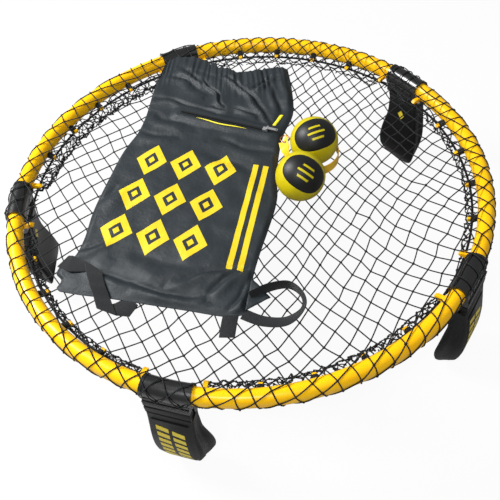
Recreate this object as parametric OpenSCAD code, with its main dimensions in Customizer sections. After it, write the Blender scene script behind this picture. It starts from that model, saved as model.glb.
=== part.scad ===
// Roundnet set: a five-legged ring with a stretched net, two balls and the carry bag that lie on it.
// Millimetres, +Z up. Origin on the floor, on the axis of the ring.

/* [Ring] */
// Outer diameter of the assembled ring of tubes
ring_od = 914.4; // [860:0.2:960]
// Height of the middle of the tubes above the floor
tube_z = 235; // [215:1:245]
// Width of a tube, measured towards the ring's axis
tube_w = 28; // [26:0.5:30]
// Height of a tube
tube_h = 33; // [31:0.5:36]
// Wall of a tube
tube_wall = 2.4; // [1.8:0.1:3]

/* [Housings] */
// Length of a housing along the ring
housing_len = 82; // [78:1:90]
// Wall of a housing
housing_wall = 3.4; // [3:0.1:4]
// Play between a tube and the socket that holds it
socket_play = 0.3; // [0.2:0.05:0.4]
// Diameter of a hinge pin
pin_d = 6; // [5:0.5:7]

/* [Hooks] */
// Hooks on each tube
hooks_per_rim = 6; // [4:1:8]
// Width of a hook along the tube
hook_w = 8; // [6:1:10]

/* [Net] */
// Side of one net mesh
mesh_side = 28; // [26:1:44]
// Width of a strand of the net
strand_w = 2.4; // [2:0.1:3]

/* [Balls] */
// Diameter of a ball
ball_d = 89.5; // [85:0.5:91]
// Wall of a ball
ball_wall = 2.4; // [2:0.1:4]

/* [Bag] */
// Thickness of the empty bag, lying flat
bag_t = 12; // [10:1:16]

/* [Hidden] */
$fn = 48;
LEGS = 5;
pitch_deg = 360 / LEGS;
first_leg_deg = -90;
ring_r = (ring_od - tube_w) / 2;
housing_deg = housing_len / ring_r * 180 / PI;
stop_t = 3;                                    // web in the middle of a housing
stop_deg = stop_t / ring_r * 180 / PI;
bead = 1;                                      // raised ends of a housing
bead_len = 5;
bead_deg = bead_len / ring_r * 180 / PI;
barrel_grow = socket_play + housing_wall;      // from a tube's skin to a housing's skin
rim_deg = pitch_deg - stop_deg;

// Hinge under a housing, in the leg's own frame: X outwards, Y along the ring, Z up
pin_x = -2;
pin_drop = 34;
lug_r = 10;
lug_t = 8;
lug_gap = 0.4;
knuckle_r = 9;
pin_play = 0.04;
saddle_drop = 23.5;
knuckle_half = housing_len / 2 - lug_t - lug_gap;
SADDLE_RIBS = [-13, -17.5, -22];               // heights of the ribs below the barrel
rib_x = 19.3;
rib_r = 1.5;

// A leg from the hinge down: [drop below the tube, inner face, outer face, half width inside,
// half width outside, depth of the side panels]
LEG_STATIONS = [
    [46, -9, 22, 39, 40, 0],
    [60, -6, 23.2, 38, 39, 0],
    [78, -4, 24.2, 38, 38, 0.6],
    [110, -2, 24.8, 39, 36, 1.6],
    [145, -5, 24.8, 43, 33, 1.8],
    [175, -9, 24.8, 49, 31, 1.8],
    [200, -8, 24.8, 52, 28, 1.5],
    [217, -2, 24.4, 47, 24, 0.5],
    [229, 5, 23.4, 36, 18, 0],
    [235, 12, 20, 20, 9, 0]
];
leg_steps = 3;                                 // rings between two stations
leg_bevel = 3;
leg_border = 7;                                // round the raised panel of the outer face
leg_raise = 1.2;                               // height of that panel
panel_from = 58;                               // its top and bottom, as drops below the tube
panel_to = 216;
side_edge = 0.24;                              // share of a side face left as its border

// Net, from the top of the tubes up
net_z = tube_z + tube_h / 2 + 0.1;
net_t = 2.4;
twine_t = 1.18;                               // each of the two layers
net_top = net_z + net_t;
net_r = ring_r - 2;
net_end = 5;                                   // no strand lies nearer to the net's edge
strand_margin = 5;                             // in degrees, beside a housing
strand_short = 18;                             // how far short of the ring a strand stops there
rope_r = 2.2;
rope_in = 21;
rope_drop = 16.8;

// Hooks: a finger from the tube's inner wall, in and down
hook_root = [-11, -5];
hook_tip = [-27, -11.5];
hook_r = 3;
hook_bead = 0.7;                               // how much thicker the tip is, to keep the net on
hook_end_gap = 13;                             // from a housing to the middle of the nearest hook

// Balls and gauge strip, in plan
lift_play = 0.2;                               // under what lies on the net
ball_r = ball_d / 2;
ball_z = net_top + lift_play + ball_r;
FRONT_BALL = [113, -21];
REAR_BALL = [118, 73];
valve_r = 3;
valve_head_r = 5;
gauge_r = 46.5;
gauge_t = 1.4;
gauge_h = 20;
gauge_from = 203.6;                            // bearing where the tail leaves the loop
gauge_sweep = 325;
gauge_tail = 62;
gauge_notch = 12;                              // depth of the swallow tail
gauge_hole_at = 42;                            // along the tail
gauge_hole_z = 13.7;
gauge_hole_r = 3;
ring_wire_r = 0.9;
ring_loop_r = 9;

// Bag outline in plan, round it from the top left corner
BAG_OUTLINE = [
    [-262, 285], [-10, 293], [33, 262], [47, 205], [57, 152], [54, 128], [43, 120],
    [43, 106], [51, 96], [54, 42], [62, 10],
    [67, -95], [72, -200], [80, -297], [-10, -308], [-110, -311], [-235, -319], [-243, -270],
    [-254, -160], [-259, -95], [-251, 0], [-254, 100], [-260, 170], [-262, 235]
];
// Kept clear of the front ball and of the strip round the rear ball: [place, radius]
BAG_NOTCH = [[FRONT_BALL, ball_r + 3.5], [REAR_BALL, gauge_r + gauge_t + 3.5]];
CASING_OUTLINE = [
    [-262, 285.4], [-270, 300], [-222, 346], [-180, 328], [-140, 311], [-107, 311], [-73, 336],
    [-33, 340], [3, 333], [14, 310], [-10, 293.4]
];
casing_more = 3;                               // the gathered casing is thicker than the bag
bag_z = net_top + lift_play;
bag_top = bag_z + bag_t;
skin_gap = 0.1;
strap_steps = 4;                               // points of a strap's curve between two of its own
strap_t = 2.4;
tab_t = 3;
STRAP_LEFT = [[-205, -330], [-170, -352], [-130, -352], [-106, -323]];
STRAP_RIGHT = [[57, -303], [66, -342]];
TAB_LEFT = [[-256, -240], [-290, -262]];
TAB_RIGHT = [[84, -262], [136, -228], [168, -250], [158, -280], [110, -300], [85, -296]];
LABEL_AT = [20, 140];
label_size = [38, 7, 0.8];
label_deg = 78;

// Zip, from its left end to its right end
ZIP_LEFT = [-178, 143];
ZIP_RIGHT = [18, 118];
zip_len = norm(ZIP_RIGHT - ZIP_LEFT);
zip_deg = atan2(ZIP_RIGHT[1] - ZIP_LEFT[1], ZIP_RIGHT[0] - ZIP_LEFT[0]);
tape_w = 14;
tape_t = 1;
coil_w = 5;
coil_t = 1.4;
piping_r = 1.6;
piping_from = 50;
piping_len = 98;
piping_gap = 0.2;
slider_len = 11;
slider_w = 9;
slider_h = 4.4;
pull_len = 22;
pull_w = 6;
pull_t = 1.4;
slider_lift = 0.2;                             // above the tape
slider_play = 0.3;                             // beside the coil
slider_roof = 0.3;                             // above the coil
slider_nose = 3;
slider_end = 2;                                // from the slider to the zip's end
post_t = 1.6;
bail_r = 1;
bail_h = 2.5;                                  // axis of the bail, above the slider
bail_x = slider_len - 1.5;

function leg_deg(k) = first_leg_deg + pitch_deg * (k - 1);
// Smooth curve through the rows of a table
function bend(a, b, c, d, t) =
    b + 0.5 * t * (c - a + t * (2 * a - 5 * b + 4 * c - d + t * (3 * (b - c) + d - a)));
function smooth(rows, steps) = let (last = len(rows) - 1) concat(
    [for (i = [0:last - 1]) for (s = [0:steps - 1])
        bend(rows[max(i - 1, 0)], rows[i], rows[i + 1], rows[min(i + 2, last)], s / steps)],
    [rows[last]]
);

// ---------------------------------------------------------------- ring

module tube_section(grow = 0) {
    straight = (tube_h - tube_w) / 2;
    for (s = [-1, 1]) translate([0, s * straight]) circle(d = tube_w + 2 * grow);
    square([tube_w + 2 * grow, 2 * straight], center = true);
}

// Sweeps a section, drawn about the tube's middle, along the ring about a bearing
module along_ring(mid_deg, sweep_deg) {
    translate([0, 0, tube_z]) rotate([0, 0, mid_deg - sweep_deg / 2])
        rotate_extrude(angle = sweep_deg, $fn = 180) translate([ring_r, 0]) children();
}

module hook_section() {
    run = hook_tip - hook_root;
    translate(hook_root) rotate(atan2(run[1], run[0])) {
        translate([0, -hook_r]) square([norm(run), 2 * hook_r]);
        translate([norm(run), 0]) circle(r = hook_r + hook_bead);
    }
}

// The end hooks are gussets: a deep web beside the housing
module gusset_section() {
    polygon([[-6, -12], [-13, -3], [-27, -5], [-32, -9], [-27, -13], [-9, -12.5]]);
}

module rim(k) {
    mid = leg_deg(k) + pitch_deg / 2;
    hook_deg = hook_w / ring_r * 180 / PI;
    first = (pitch_deg - housing_deg) / 2 - hook_end_gap / ring_r * 180 / PI;
    color("#ffcc1a") {
        difference() {
            along_ring(mid, rim_deg) tube_section();
            along_ring(mid, rim_deg + 1) tube_section(-tube_wall);
        }
        for (i = [0:hooks_per_rim - 1]) {
            at = mid - first + 2 * first * i / (hooks_per_rim - 1);
            if (i == 0 || i == hooks_per_rim - 1) along_ring(at, hook_deg) gusset_section();
            else along_ring(at, hook_deg) hook_section();
        }
    }
}

// Puts a leg's parts at a bearing; children are drawn about the tube's middle, X outwards
module at_leg(k) {
    rotate([0, 0, leg_deg(k)]) translate([ring_r, 0, tube_z]) children();
}

// Stands an outline, drawn in X and Z, up along Y
module stand_up(length, from) {
    translate([0, from + length, 0]) rotate([90, 0, 0]) linear_extrude(length) children();
}

module housing(k) {
    at = leg_deg(k);
    half = housing_len / 2;
    color("#232527") difference() {
        union() {
            difference() {
                union() {
                    along_ring(at, housing_deg) tube_section(barrel_grow);
                    for (s = [-1, 1])
                        along_ring(at + s * (housing_deg - bead_deg) / 2, bead_deg)
                            tube_section(barrel_grow + bead);
                    // Ribs on the outer side of the saddle
                    at_leg(k) for (z = SADDLE_RIBS) translate([rib_x, 0, z]) rotate([90, 0, 0])
                        cylinder(r = rib_r, h = housing_len - 4, center = true);
                    // Saddle between the barrel and the leg's shoulder
                    at_leg(k) stand_up(housing_len - 4, -half + 2)
                        polygon([[-12, 0], [-12, -saddle_drop], [21, -saddle_drop], [17, -6]]);
                }
                along_ring(at, housing_deg + 1) tube_section(socket_play);
            }
            along_ring(at, stop_deg) tube_section(barrel_grow - 1);
            at_leg(k) for (y = [-half, half - lug_t])
                translate([0, y, 0]) stand_up(lug_t, 0) {
                    translate([pin_x, -pin_drop]) circle(r = lug_r);
                    translate([pin_x - lug_r, -pin_drop]) square([2 * lug_r, pin_drop - saddle_drop + 1]);
                }
        }
        at_leg(k) translate([pin_x, 0, -pin_drop]) rotate([90, 0, 0])
            cylinder(d = pin_d + 2 * pin_play, h = housing_len + 2, center = true);
    }
}

module hinge_pin(k) {
    color("#8d9094") at_leg(k) translate([pin_x, 0, -pin_drop]) rotate([90, 0, 0]) {
        cylinder(d = pin_d, h = housing_len, center = true);
        translate([0, 0, housing_len / 2]) cylinder(d = pin_d + 4, h = 1.6);
    }
}

// A point of a side face: t from 0 at the outer face to 1 at the inner one, sunk by some depth
function side_point(s, t, sink, side) = let (b = leg_bevel) [
    s[2] - b + t * (s[1] - s[2] + 2 * b), side * (s[4] + t * (s[3] - s[4]) - sink), -s[0]
];

// One half of the leg's skin at a station, from the outer face round to the inner one
function leg_half(s, side) = let (b = leg_bevel) [
    [s[2], side * (s[4] - b), -s[0]],
    side_point(s, 0, 0, side),
    side_point(s, side_edge, 0, side),
    side_point(s, side_edge + 0.06, s[5], side),
    side_point(s, 0.94 - side_edge, s[5], side),
    side_point(s, 1 - side_edge, 0, side),
    side_point(s, 1, 0, side),
    [s[1], side * (s[3] - b), -s[0]]
];

// A quarter of the raised panel's section: a flat top that slopes down to the outer face
function panel_half(s, side) = let (flat = s[4] - leg_border) [
    [s[2] + leg_raise, side * (flat - leg_raise), -s[0]],
    [s[2] - leg_bevel, side * flat, -s[0]]
];

// Both halves as one ring, starting on the outer face and going round by the +Y side
function whole_ring(right, left) = concat(right, [for (i = [len(left) - 1:-1:0]) left[i]]);

// Skin through a row of rings that have the same number of points, closed at both ends
module loft(rings) {
    n = len(rings[0]);
    last = len(rings) - 1;
    polyhedron(
        points = [for (r = rings) each r],
        faces = concat(
            [[for (i = [n - 1:-1:0]) i]],
            [for (j = [0:last - 1]) for (i = [0:n - 1])
                [j * n + i, j * n + (i + 1) % n, (j + 1) * n + (i + 1) % n]],
            [for (j = [0:last - 1]) for (i = [0:n - 1])
                [j * n + i, (j + 1) * n + (i + 1) % n, (j + 1) * n + i]],
            [[for (i = [0:n - 1]) last * n + i]]
        ),
        convexity = 4
    );
}

module leg_blade() {
    loft([for (s = smooth(LEG_STATIONS, leg_steps)) whole_ring(leg_half(s, 1), leg_half(s, -1))]);
}

module leg_panel() {
    loft([for (s = smooth(LEG_STATIONS, leg_steps)) if (s[0] > panel_from && s[0] < panel_to)
        whole_ring(panel_half(s, 1), panel_half(s, -1))]);
}

module leg(k) {
    top = LEG_STATIONS[0];
    neck_x = 8;                                // clears the lugs
    color("#1d1f21") at_leg(k) difference() {
        union() {
            leg_blade();
            leg_panel();
            // Knuckle between the lugs
            translate([pin_x, 0, -pin_drop]) rotate([90, 0, 0])
                cylinder(r = knuckle_r, h = 2 * knuckle_half, center = true);
            stand_up(2 * knuckle_half, -knuckle_half)
                polygon([[top[1] + 1, -top[0] - 1], [pin_x - knuckle_r, -pin_drop - 4],
                         [pin_x - knuckle_r, -pin_drop], [pin_x + 9, -pin_drop], [12, -top[0] - 1]]);
            // Shoulder that meets the saddle and stops the leg upright
            stand_up(housing_len - 4, -housing_len / 2 + 2)
                polygon([[neck_x + 1.6, -top[0] - 1], [neck_x + 1.6, -26.5], [19, -26.5], [21.5, -30],
                         [21.5, -top[0] - 1]]);
        }
        translate([pin_x, 0, -pin_drop]) rotate([90, 0, 0])
            cylinder(d = pin_d + 2 * pin_play, h = housing_len + 2, center = true);
    }
}

// ---------------------------------------------------------------- net

// How far out a strand may reach at a bearing: short of a housing, or onto a tube's crest
function strand_reach(deg) = let (
    past_leg = (deg - first_leg_deg + 360) % pitch_deg,
    off = min(past_leg, pitch_deg - past_leg)
) off < housing_deg / 2 + strand_margin ? ring_r - strand_short : net_r;

// Half length of a strand on one side of its middle
function strand_half(offset, bearing, lean) =
    sqrt(pow(strand_reach(bearing + lean * asin(offset / net_r)), 2) - pow(offset, 2));

module strand(offset, turn) {
    bearing = 45 + turn;
    back = strand_half(offset, bearing + 180, -1);
    rotate([0, 0, turn]) translate([-back, offset - strand_w / 2, 0])
        cube([back + strand_half(offset, bearing, 1), strand_w, twine_t]);
}

// Two sets of twine cross at right angles, one laid over the other
module net() {
    count = floor((net_r - net_end) / mesh_side);
    color("#1a1b1d") translate([0, 0, net_z]) rotate([0, 0, 45]) for (i = [-count:count]) {
        strand(i * mesh_side, 0);
        translate([0, 0, net_t - twine_t]) strand(i * mesh_side, 90);
    }
}

module net_rope() {
    color("#1a1b1d") translate([0, 0, tube_z - rope_drop])
        rotate_extrude($fn = 180) translate([ring_r - rope_in, 0]) circle(r = rope_r);
}

// ---------------------------------------------------------------- balls and gauge

module ball(at) {
    color("#f6d80a") translate([at[0], at[1], ball_z]) difference() {
        sphere(r = ball_r, $fn = 96);
        sphere(r = ball_r - ball_wall, $fn = 96);
        translate([0, 0, -ball_r - 1]) cylinder(r = valve_r, h = ball_wall + 4);
    }
}

module ball_valve(at) {
    inner = sqrt(pow(ball_r - ball_wall, 2) - pow(valve_head_r, 2));
    color("#30322f") translate([at[0], at[1], ball_z]) {
        translate([0, 0, -ball_r + 0.3]) cylinder(r = valve_r - 0.05, h = ball_r - inner);
        translate([0, 0, -inner + 0.1]) cylinder(r = valve_head_r, h = 2.5);
    }
}

module gauge_strip() {
    z = net_top + lift_play;
    color("#f7c80f") translate([REAR_BALL[0], REAR_BALL[1], z]) {
        rotate([0, 0, gauge_from]) rotate_extrude(angle = gauge_sweep, $fn = 120)
            translate([gauge_r, 0]) square([gauge_t, gauge_h]);
        // Tail, straight off the loop, with its hole for the split ring
        rotate([0, 0, gauge_from]) translate([gauge_r + gauge_t, 0, 0]) rotate([90, 0, -90])
            linear_extrude(gauge_t) difference() {
                polygon([[0, 0], [gauge_tail - gauge_notch, 0],
                         [gauge_tail - 1.5 * gauge_notch, gauge_h / 2], [gauge_tail, gauge_h],
                         [0, gauge_h]]);
                translate([gauge_hole_at, gauge_hole_z]) circle(r = gauge_hole_r);
            }
    }
}

// The ring passes through the strip's hole, flat, just above the bag
module split_ring() {
    color("#c98a3c") translate([REAR_BALL[0], REAR_BALL[1], net_top + lift_play + gauge_hole_z])
        rotate([0, 0, gauge_from])
            translate([gauge_r + gauge_t / 2, -(gauge_hole_at + ring_loop_r), 0])
                rotate_extrude($fn = 64) translate([ring_loop_r, 0]) circle(r = ring_wire_r);
}

// ---------------------------------------------------------------- bag

module slab(z, thick) {
    translate([0, 0, z]) linear_extrude(thick) children();
}

module bag_body() {
    color("#34373b") difference() {
        slab(bag_z, bag_t) polygon(BAG_OUTLINE);
        for (n = BAG_NOTCH) translate([each n[0], bag_z - 1]) cylinder(r = n[1], h = bag_t + 2);
    }
}

module bag_casing() {
    color("#2e3135") slab(bag_z, bag_t + casing_more) polygon(CASING_OUTLINE);
}

module bag_label() {
    color("#f2d21a") translate([each LABEL_AT, bag_top + skin_gap]) rotate([0, 0, label_deg])
        cube(label_size);
}

// Outline of a flat strap that follows a smooth curve through a list of points
function strap_side(path, side) = [for (i = [0:len(path) - 1]) let (
    run = path[min(i + 1, len(path) - 1)] - path[max(i - 1, 0)]
) path[i] + side * [-run[1], run[0]] / norm(run)];

module strap(points, wide, thick) {
    path = smooth(points, strap_steps);
    right = strap_side(path, -wide / 2);
    linear_extrude(thick)
        polygon(concat(strap_side(path, wide / 2), [for (i = [len(right) - 1:-1:0]) right[i]]));
}

module bag_strap_left() {
    color("#1b1c1e") translate([0, 0, bag_z])
        strap(STRAP_LEFT, 22, strap_t);
}

module bag_tab_left() {
    color("#1b1c1e") translate([0, 0, bag_z]) strap(TAB_LEFT, 34, tab_t);
}

module bag_strap_right() {
    color("#1b1c1e") translate([0, 0, bag_z]) strap(STRAP_RIGHT, 26, strap_t);
}

module bag_tab_right() {
    color("#1b1c1e") translate([0, 0, bag_z])
        strap(TAB_RIGHT, 20, strap_t);
}

module zip_frame() {
    translate([ZIP_LEFT[0], ZIP_LEFT[1], bag_top + skin_gap]) rotate([0, 0, zip_deg]) children();
}

module zip_tape() {
    color("#151617") zip_frame() translate([0, -tape_w / 2, 0]) cube([zip_len, tape_w, tape_t]);
}

module zip_coil() {
    color("#222325") zip_frame() translate([0, -coil_w / 2, tape_t])
        cube([zip_len, coil_w, coil_t]);
}

module zip_piping() {
    color("#e9e02a") zip_frame()
        translate([piping_from, -tape_w / 2 - piping_r - piping_gap, piping_r])
            rotate([0, 90, 0]) cylinder(r = piping_r, h = piping_len);
}

module at_slider() {
    zip_frame() translate([zip_len - slider_len - slider_end, 0, tape_t]) children();
}

// The slider straddles the coil: a top plate with a narrower nose, two side flanges and the bail
// that the pull turns on
module zip_slider() {
    channel_w = coil_w + 2 * slider_play;
    channel_h = coil_t + slider_roof;
    post_y = pull_w / 2 + 0.2;
    color("#c9ccd0") at_slider() {
        difference() {
            translate([0, 0, slider_lift]) linear_extrude(slider_h - slider_lift)
                polygon([[0, -slider_w / 2], [slider_len - slider_nose, -slider_w / 2],
                         [slider_len, -slider_w / 2 + 1], [slider_len, slider_w / 2 - 1],
                         [slider_len - slider_nose, slider_w / 2], [0, slider_w / 2]]);
            translate([-1, -channel_w / 2, -1]) cube([slider_len + 2, channel_w, channel_h + 1]);
        }
        for (y = [-post_y - post_t, post_y]) translate([bail_x - 1.5, y, slider_h])
            cube([3, post_t, bail_h + bail_r + 0.4]);
        translate([bail_x, post_y + post_t, slider_h + bail_h]) rotate([90, 0, 0])
            cylinder(r = bail_r, h = 2 * (post_y + post_t));
    }
}

module zip_pull() {
    eye_w = pull_w - 0.4;
    color("#d6d8db") at_slider() translate([bail_x, 0, slider_h + bail_h]) difference() {
        union() {
            rotate([90, 0, 0]) cylinder(r = bail_r + 1.2, h = eye_w, center = true);
            translate([0, 0, -pull_t / 2]) linear_extrude(pull_t) {
                translate([0, -eye_w / 2]) square([pull_len - eye_w / 2, eye_w]);
                translate([pull_len - eye_w / 2, 0]) circle(d = eye_w);
            }
        }
        rotate([90, 0, 0]) cylinder(r = bail_r + 0.06, h = pull_w + 2, center = true);
        translate([pull_len - eye_w / 2, 0, -2]) cylinder(r = 1.6, h = 4);
    }
}

rim(1);  // rim_1
rim(2);  // rim_2
rim(3);  // rim_3
rim(4);  // rim_4
rim(5);  // rim_5
housing(1);  // housing_1
housing(2);  // housing_2
housing(3);  // housing_3
housing(4);  // housing_4
housing(5);  // housing_5
hinge_pin(1);  // hinge_pin_1
hinge_pin(2);  // hinge_pin_2
hinge_pin(3);  // hinge_pin_3
hinge_pin(4);  // hinge_pin_4
hinge_pin(5);  // hinge_pin_5
leg(1);  // leg_1
leg(2);  // leg_2
leg(3);  // leg_3
leg(4);  // leg_4
leg(5);  // leg_5
net();
net_rope();
ball(FRONT_BALL);  // ball_front
ball_valve(FRONT_BALL);  // ball_front_valve
ball(REAR_BALL);  // ball_rear
ball_valve(REAR_BALL);  // ball_rear_valve
gauge_strip();
split_ring();
bag_body();
bag_casing();
bag_label();
bag_strap_left();
bag_tab_left();
bag_strap_right();
bag_tab_right();
zip_tape();
zip_coil();
zip_piping();
zip_slider();
zip_pull();
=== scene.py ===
import math

import bmesh
import bpy
import numpy as np
from mathutils import Matrix, Vector, noise
from mathutils.bvhtree import BVHTree


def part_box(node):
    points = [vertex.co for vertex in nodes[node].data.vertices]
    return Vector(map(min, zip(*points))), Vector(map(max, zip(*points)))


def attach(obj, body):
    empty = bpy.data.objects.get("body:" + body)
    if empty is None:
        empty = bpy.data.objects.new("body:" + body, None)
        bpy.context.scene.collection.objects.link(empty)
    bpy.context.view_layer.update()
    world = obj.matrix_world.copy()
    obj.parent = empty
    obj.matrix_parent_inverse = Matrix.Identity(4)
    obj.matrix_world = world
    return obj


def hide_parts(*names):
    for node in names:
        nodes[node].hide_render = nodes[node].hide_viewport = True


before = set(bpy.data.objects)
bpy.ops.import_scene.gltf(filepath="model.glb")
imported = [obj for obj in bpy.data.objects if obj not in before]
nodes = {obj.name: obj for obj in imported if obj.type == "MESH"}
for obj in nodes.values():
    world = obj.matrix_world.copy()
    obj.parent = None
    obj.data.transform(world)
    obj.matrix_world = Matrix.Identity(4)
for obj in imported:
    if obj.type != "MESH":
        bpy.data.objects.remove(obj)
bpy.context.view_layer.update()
mm = 0.001


# ---------------------------------------------------------------- camera
# A camera held above the near edge of the ring, looking down across it and a little to the left,
# so that all five housings show.


def placed(name, data):
    """A new object of the scene, at the origin."""
    made = bpy.data.objects.new(name, data)
    bpy.context.scene.collection.objects.link(made)
    return made


camera_data = bpy.data.cameras.new("camera")
camera_data.sensor_width, camera_data.lens = 36, 46.08
camera = placed("camera", camera_data)
camera_right = Vector((0.9614, 0.2641, -0.0775)).normalized()
camera_back = Vector((0.221, -0.5731, 0.7891)).normalized()
camera_up = camera_back.cross(camera_right)
camera_turn = Matrix((camera_right, camera_up, camera_back)).transposed().to_4x4()
camera_place = Vector((0.3009, -0.8026, 1.1278))
camera.matrix_world = Matrix.Translation(camera_place) @ camera_turn
bpy.context.scene.camera = camera


# ---------------------------------------------------------------- tubes of the ring
# Five tubes of blow-moulded polypropylene, each bent to a fifth of the ring, with the hooks for
# the net moulded on. Each ends in a spigot and a socket, pushed into the housings.


def colour(sheet_hex):
    """The linear colour, with alpha, that an sRGB hex value stands for."""
    parts = [int(sheet_hex[i : i + 2], 16) / 255 for i in (1, 3, 5)]
    return [c / 12.92 if c <= 0.04045 else ((c + 0.055) / 1.055) ** 2.4 for c in parts] + [1]


def live(node):
    """A node's first output in use."""
    return next(s for s in node.outputs if s.enabled)


def add(tree, kind, inputs=None, **settings):
    """Adds a node. Inputs go by name or number: a value, a socket, or a node's first live output."""
    made = tree.nodes.new(kind)
    for name, value in settings.items():
        setattr(made, name, value)
    for key, value in (inputs or {}).items():
        if isinstance(key, int):
            socket = made.inputs[key]
        else:
            socket = next(s for s in made.inputs if s.enabled and s.name == key)
        if isinstance(value, bpy.types.Node):
            value = live(value)
        if isinstance(value, bpy.types.NodeSocket):
            tree.links.new(value, socket)
        else:
            socket.default_value = value
    return made


def material(name, values, linked=lambda tree, where: {}):
    """A material from its shader's own values and the nodes that linked() makes for its other sockets."""
    made = bpy.data.materials.new(name)
    made.use_nodes = True
    tree = made.node_tree
    shader = tree.nodes["Principled BSDF"]
    for key, value in values.items():
        shader.inputs[key].default_value = value
    where = add(tree, "ShaderNodeTexCoord").outputs["Object"]
    for key, source in linked(tree, where).items():
        tree.links.new(live(source), shader.inputs[key])
    return made


def blotched(tree, where, size_mm, dark, light, detail=2):
    """Soft blotches of two tones: their pattern, and the colour that it gives."""
    pattern = add(tree, "ShaderNodeTexNoise", {"Vector": where, "Scale": 1000 / size_mm, "Detail": detail})
    tones = {"Factor": pattern, "A": colour(dark), "B": colour(light)}
    return pattern, add(tree, "ShaderNodeMix", tones, data_type="RGBA")


def dress(node, made):
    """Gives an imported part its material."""
    nodes[node].data.materials.clear()
    nodes[node].data.materials.append(made)


def blown_wall(tree, where):
    """Glossy enough for a soft highlight along the crest, with the faint ripple of a blown wall."""
    ripple_mm = 9
    _, tint = blotched(tree, where, 70, "#fab504", "#ffcc0c")
    ripple = add(tree, "ShaderNodeTexNoise", {"Vector": where, "Scale": 1000 / ripple_mm})
    bump = add(tree, "ShaderNodeBump", {"Height": ripple, "Distance": 0.15 * mm})
    return {"Base Color": tint, "Normal": bump}


tube_plastic = material(
    "blown_polypropylene_yellow", {"Roughness": 0.3, "IOR": 1.49, "Specular IOR Level": 0.28}, blown_wall
)
for k in range(1, 6):
    dress(f"rim_{k}", tube_plastic)


# ---------------------------------------------------------------- housings and hinge pins
# Moulded ABS barrels, each holding two tube ends, with knuckles below that carry a leg on a pin of
# zinc-plated steel.


def spark_texture(tree, where):
    """Semi-gloss black with a fine spark texture, rubbed a little smoother in broad patches."""
    grain_mm, rub_mm = 1.6, 45
    grain = add(tree, "ShaderNodeTexNoise", {"Vector": where, "Scale": 1000 / grain_mm, "Detail": 3})
    rub, black = blotched(tree, where, rub_mm, "#050606", "#0e0f10")
    return {
        "Base Color": black,
        "Roughness": add(tree, "ShaderNodeMapRange", {"Value": rub, "To Min": 0.2, "To Max": 0.34}),
        "Normal": add(tree, "ShaderNodeBump", {"Height": grain, "Distance": 0.08 * mm, "Strength": 0.6}),
    }


def rolled_steel(tree, where):
    """Bright plating over rolled wire, a little streaked."""
    streak_mm = 4
    streak = add(tree, "ShaderNodeTexNoise", {"Vector": where, "Scale": 1000 / streak_mm, "Detail": 4})
    return {"Roughness": add(tree, "ShaderNodeMapRange", {"Value": streak, "To Min": 0.25, "To Max": 0.5})}


housing_plastic = material("moulded_abs_black", {"IOR": 1.52, "Specular IOR Level": 0.8}, spark_texture)
pin_steel = material("zinc_plated_steel", {"Base Color": colour("#b9bcc0"), "Metallic": 1.0}, rolled_steel)
for k in range(1, 6):
    dress(f"housing_{k}", housing_plastic)
    dress(f"hinge_pin_{k}", pin_steel)


# ---------------------------------------------------------------- legs
# Hollow legs moulded in glass-filled nylon, hinged below the housings so that they fold inwards.
# Each carries slanted yellow bars, pad-printed on the outer face, and a diamond on the inner one.


def filled_nylon(tree, where):
    """A matt black that greys where light rakes its fine grain."""
    grain_mm, wear_mm = 1.1, 30
    grain = add(tree, "ShaderNodeTexNoise", {"Vector": where, "Scale": 1000 / grain_mm, "Detail": 4})
    _, black = blotched(tree, where, wear_mm, "#040505", "#0c0d0e", 3)
    bump = add(tree, "ShaderNodeBump", {"Height": grain, "Distance": 0.12 * mm, "Strength": 0.7})
    return {"Base Color": black, "Normal": bump}


leg_plastic = material(
    "glass_filled_nylon_black", {"Roughness": 0.42, "IOR": 1.53, "Specular IOR Level": 0.2}, filled_nylon
)
first_leg, leg_pitch = math.radians(-90), math.radians(72)
ring_middle_r, tube_middle_z = 443 * mm, 235 * mm
crisp_edge = math.radians(28)

# A leg as packed: drop below the tube's middle, inner face, outer face, half width at the inner face
# and at the outer one; then how much further out, and wider, the moulding has each. All in mm
LEG_FORM = [
    (46, -9, 22, 39, 40, 0, 0, 0, 0),
    (60, -6, 23.2, 38, 39, 0, 1.3, 0.5, 0.5),
    (78, -4, 24.2, 38, 38, 0, 3.8, 2, 1.5),
    (110, -2, 24.8, 39, 36, 0, 8.2, 4, 5),
    (145, -5, 24.8, 43, 33, 0, 10.2, 7, 10),
    (175, -9, 24.8, 49, 31, 0, 9.2, 3, 10),
    (200, -8, 24.8, 52, 28, 0, 4.2, -3, 9),
    (217, -2, 24.4, 47, 24, 0, 0.2, -7.5, 6.5),
    (229, 5, 23.4, 36, 18, 0, -1.8, -9.5, 3),
    (235, 12, 20, 20, 9, 0, 0, -9, -1),
]


def smooth_between(a, b, c, d, s):
    """The point a share s of the way from b to c, on the smooth curve that runs on through a and d."""
    return b + 0.5 * s * (c - a + s * (2 * a - 5 * b + 4 * c - d + s * (3 * (b - c) + d - a)))


def leg_form_at(drop):
    """The row of LEG_FORM at any drop, read off smooth curves."""
    last = len(LEG_FORM) - 1
    i = next((i for i in range(last - 1) if drop < LEG_FORM[i + 1][0]), last - 1)
    rows = [Vector(LEG_FORM[min(max(n, 0), last)]) for n in range(i - 1, i + 3)]
    return smooth_between(*rows, (drop - rows[1][0]) / (rows[2][0] - rows[1][0]))


def piece_of(mesh, name, made=None):
    """Ends a bmesh as a piece of that name and material."""
    data = bpy.data.meshes.new(name)
    mesh.to_mesh(data)
    mesh.free()
    if made:
        data.materials.append(made)
    return placed(name, data)


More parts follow.
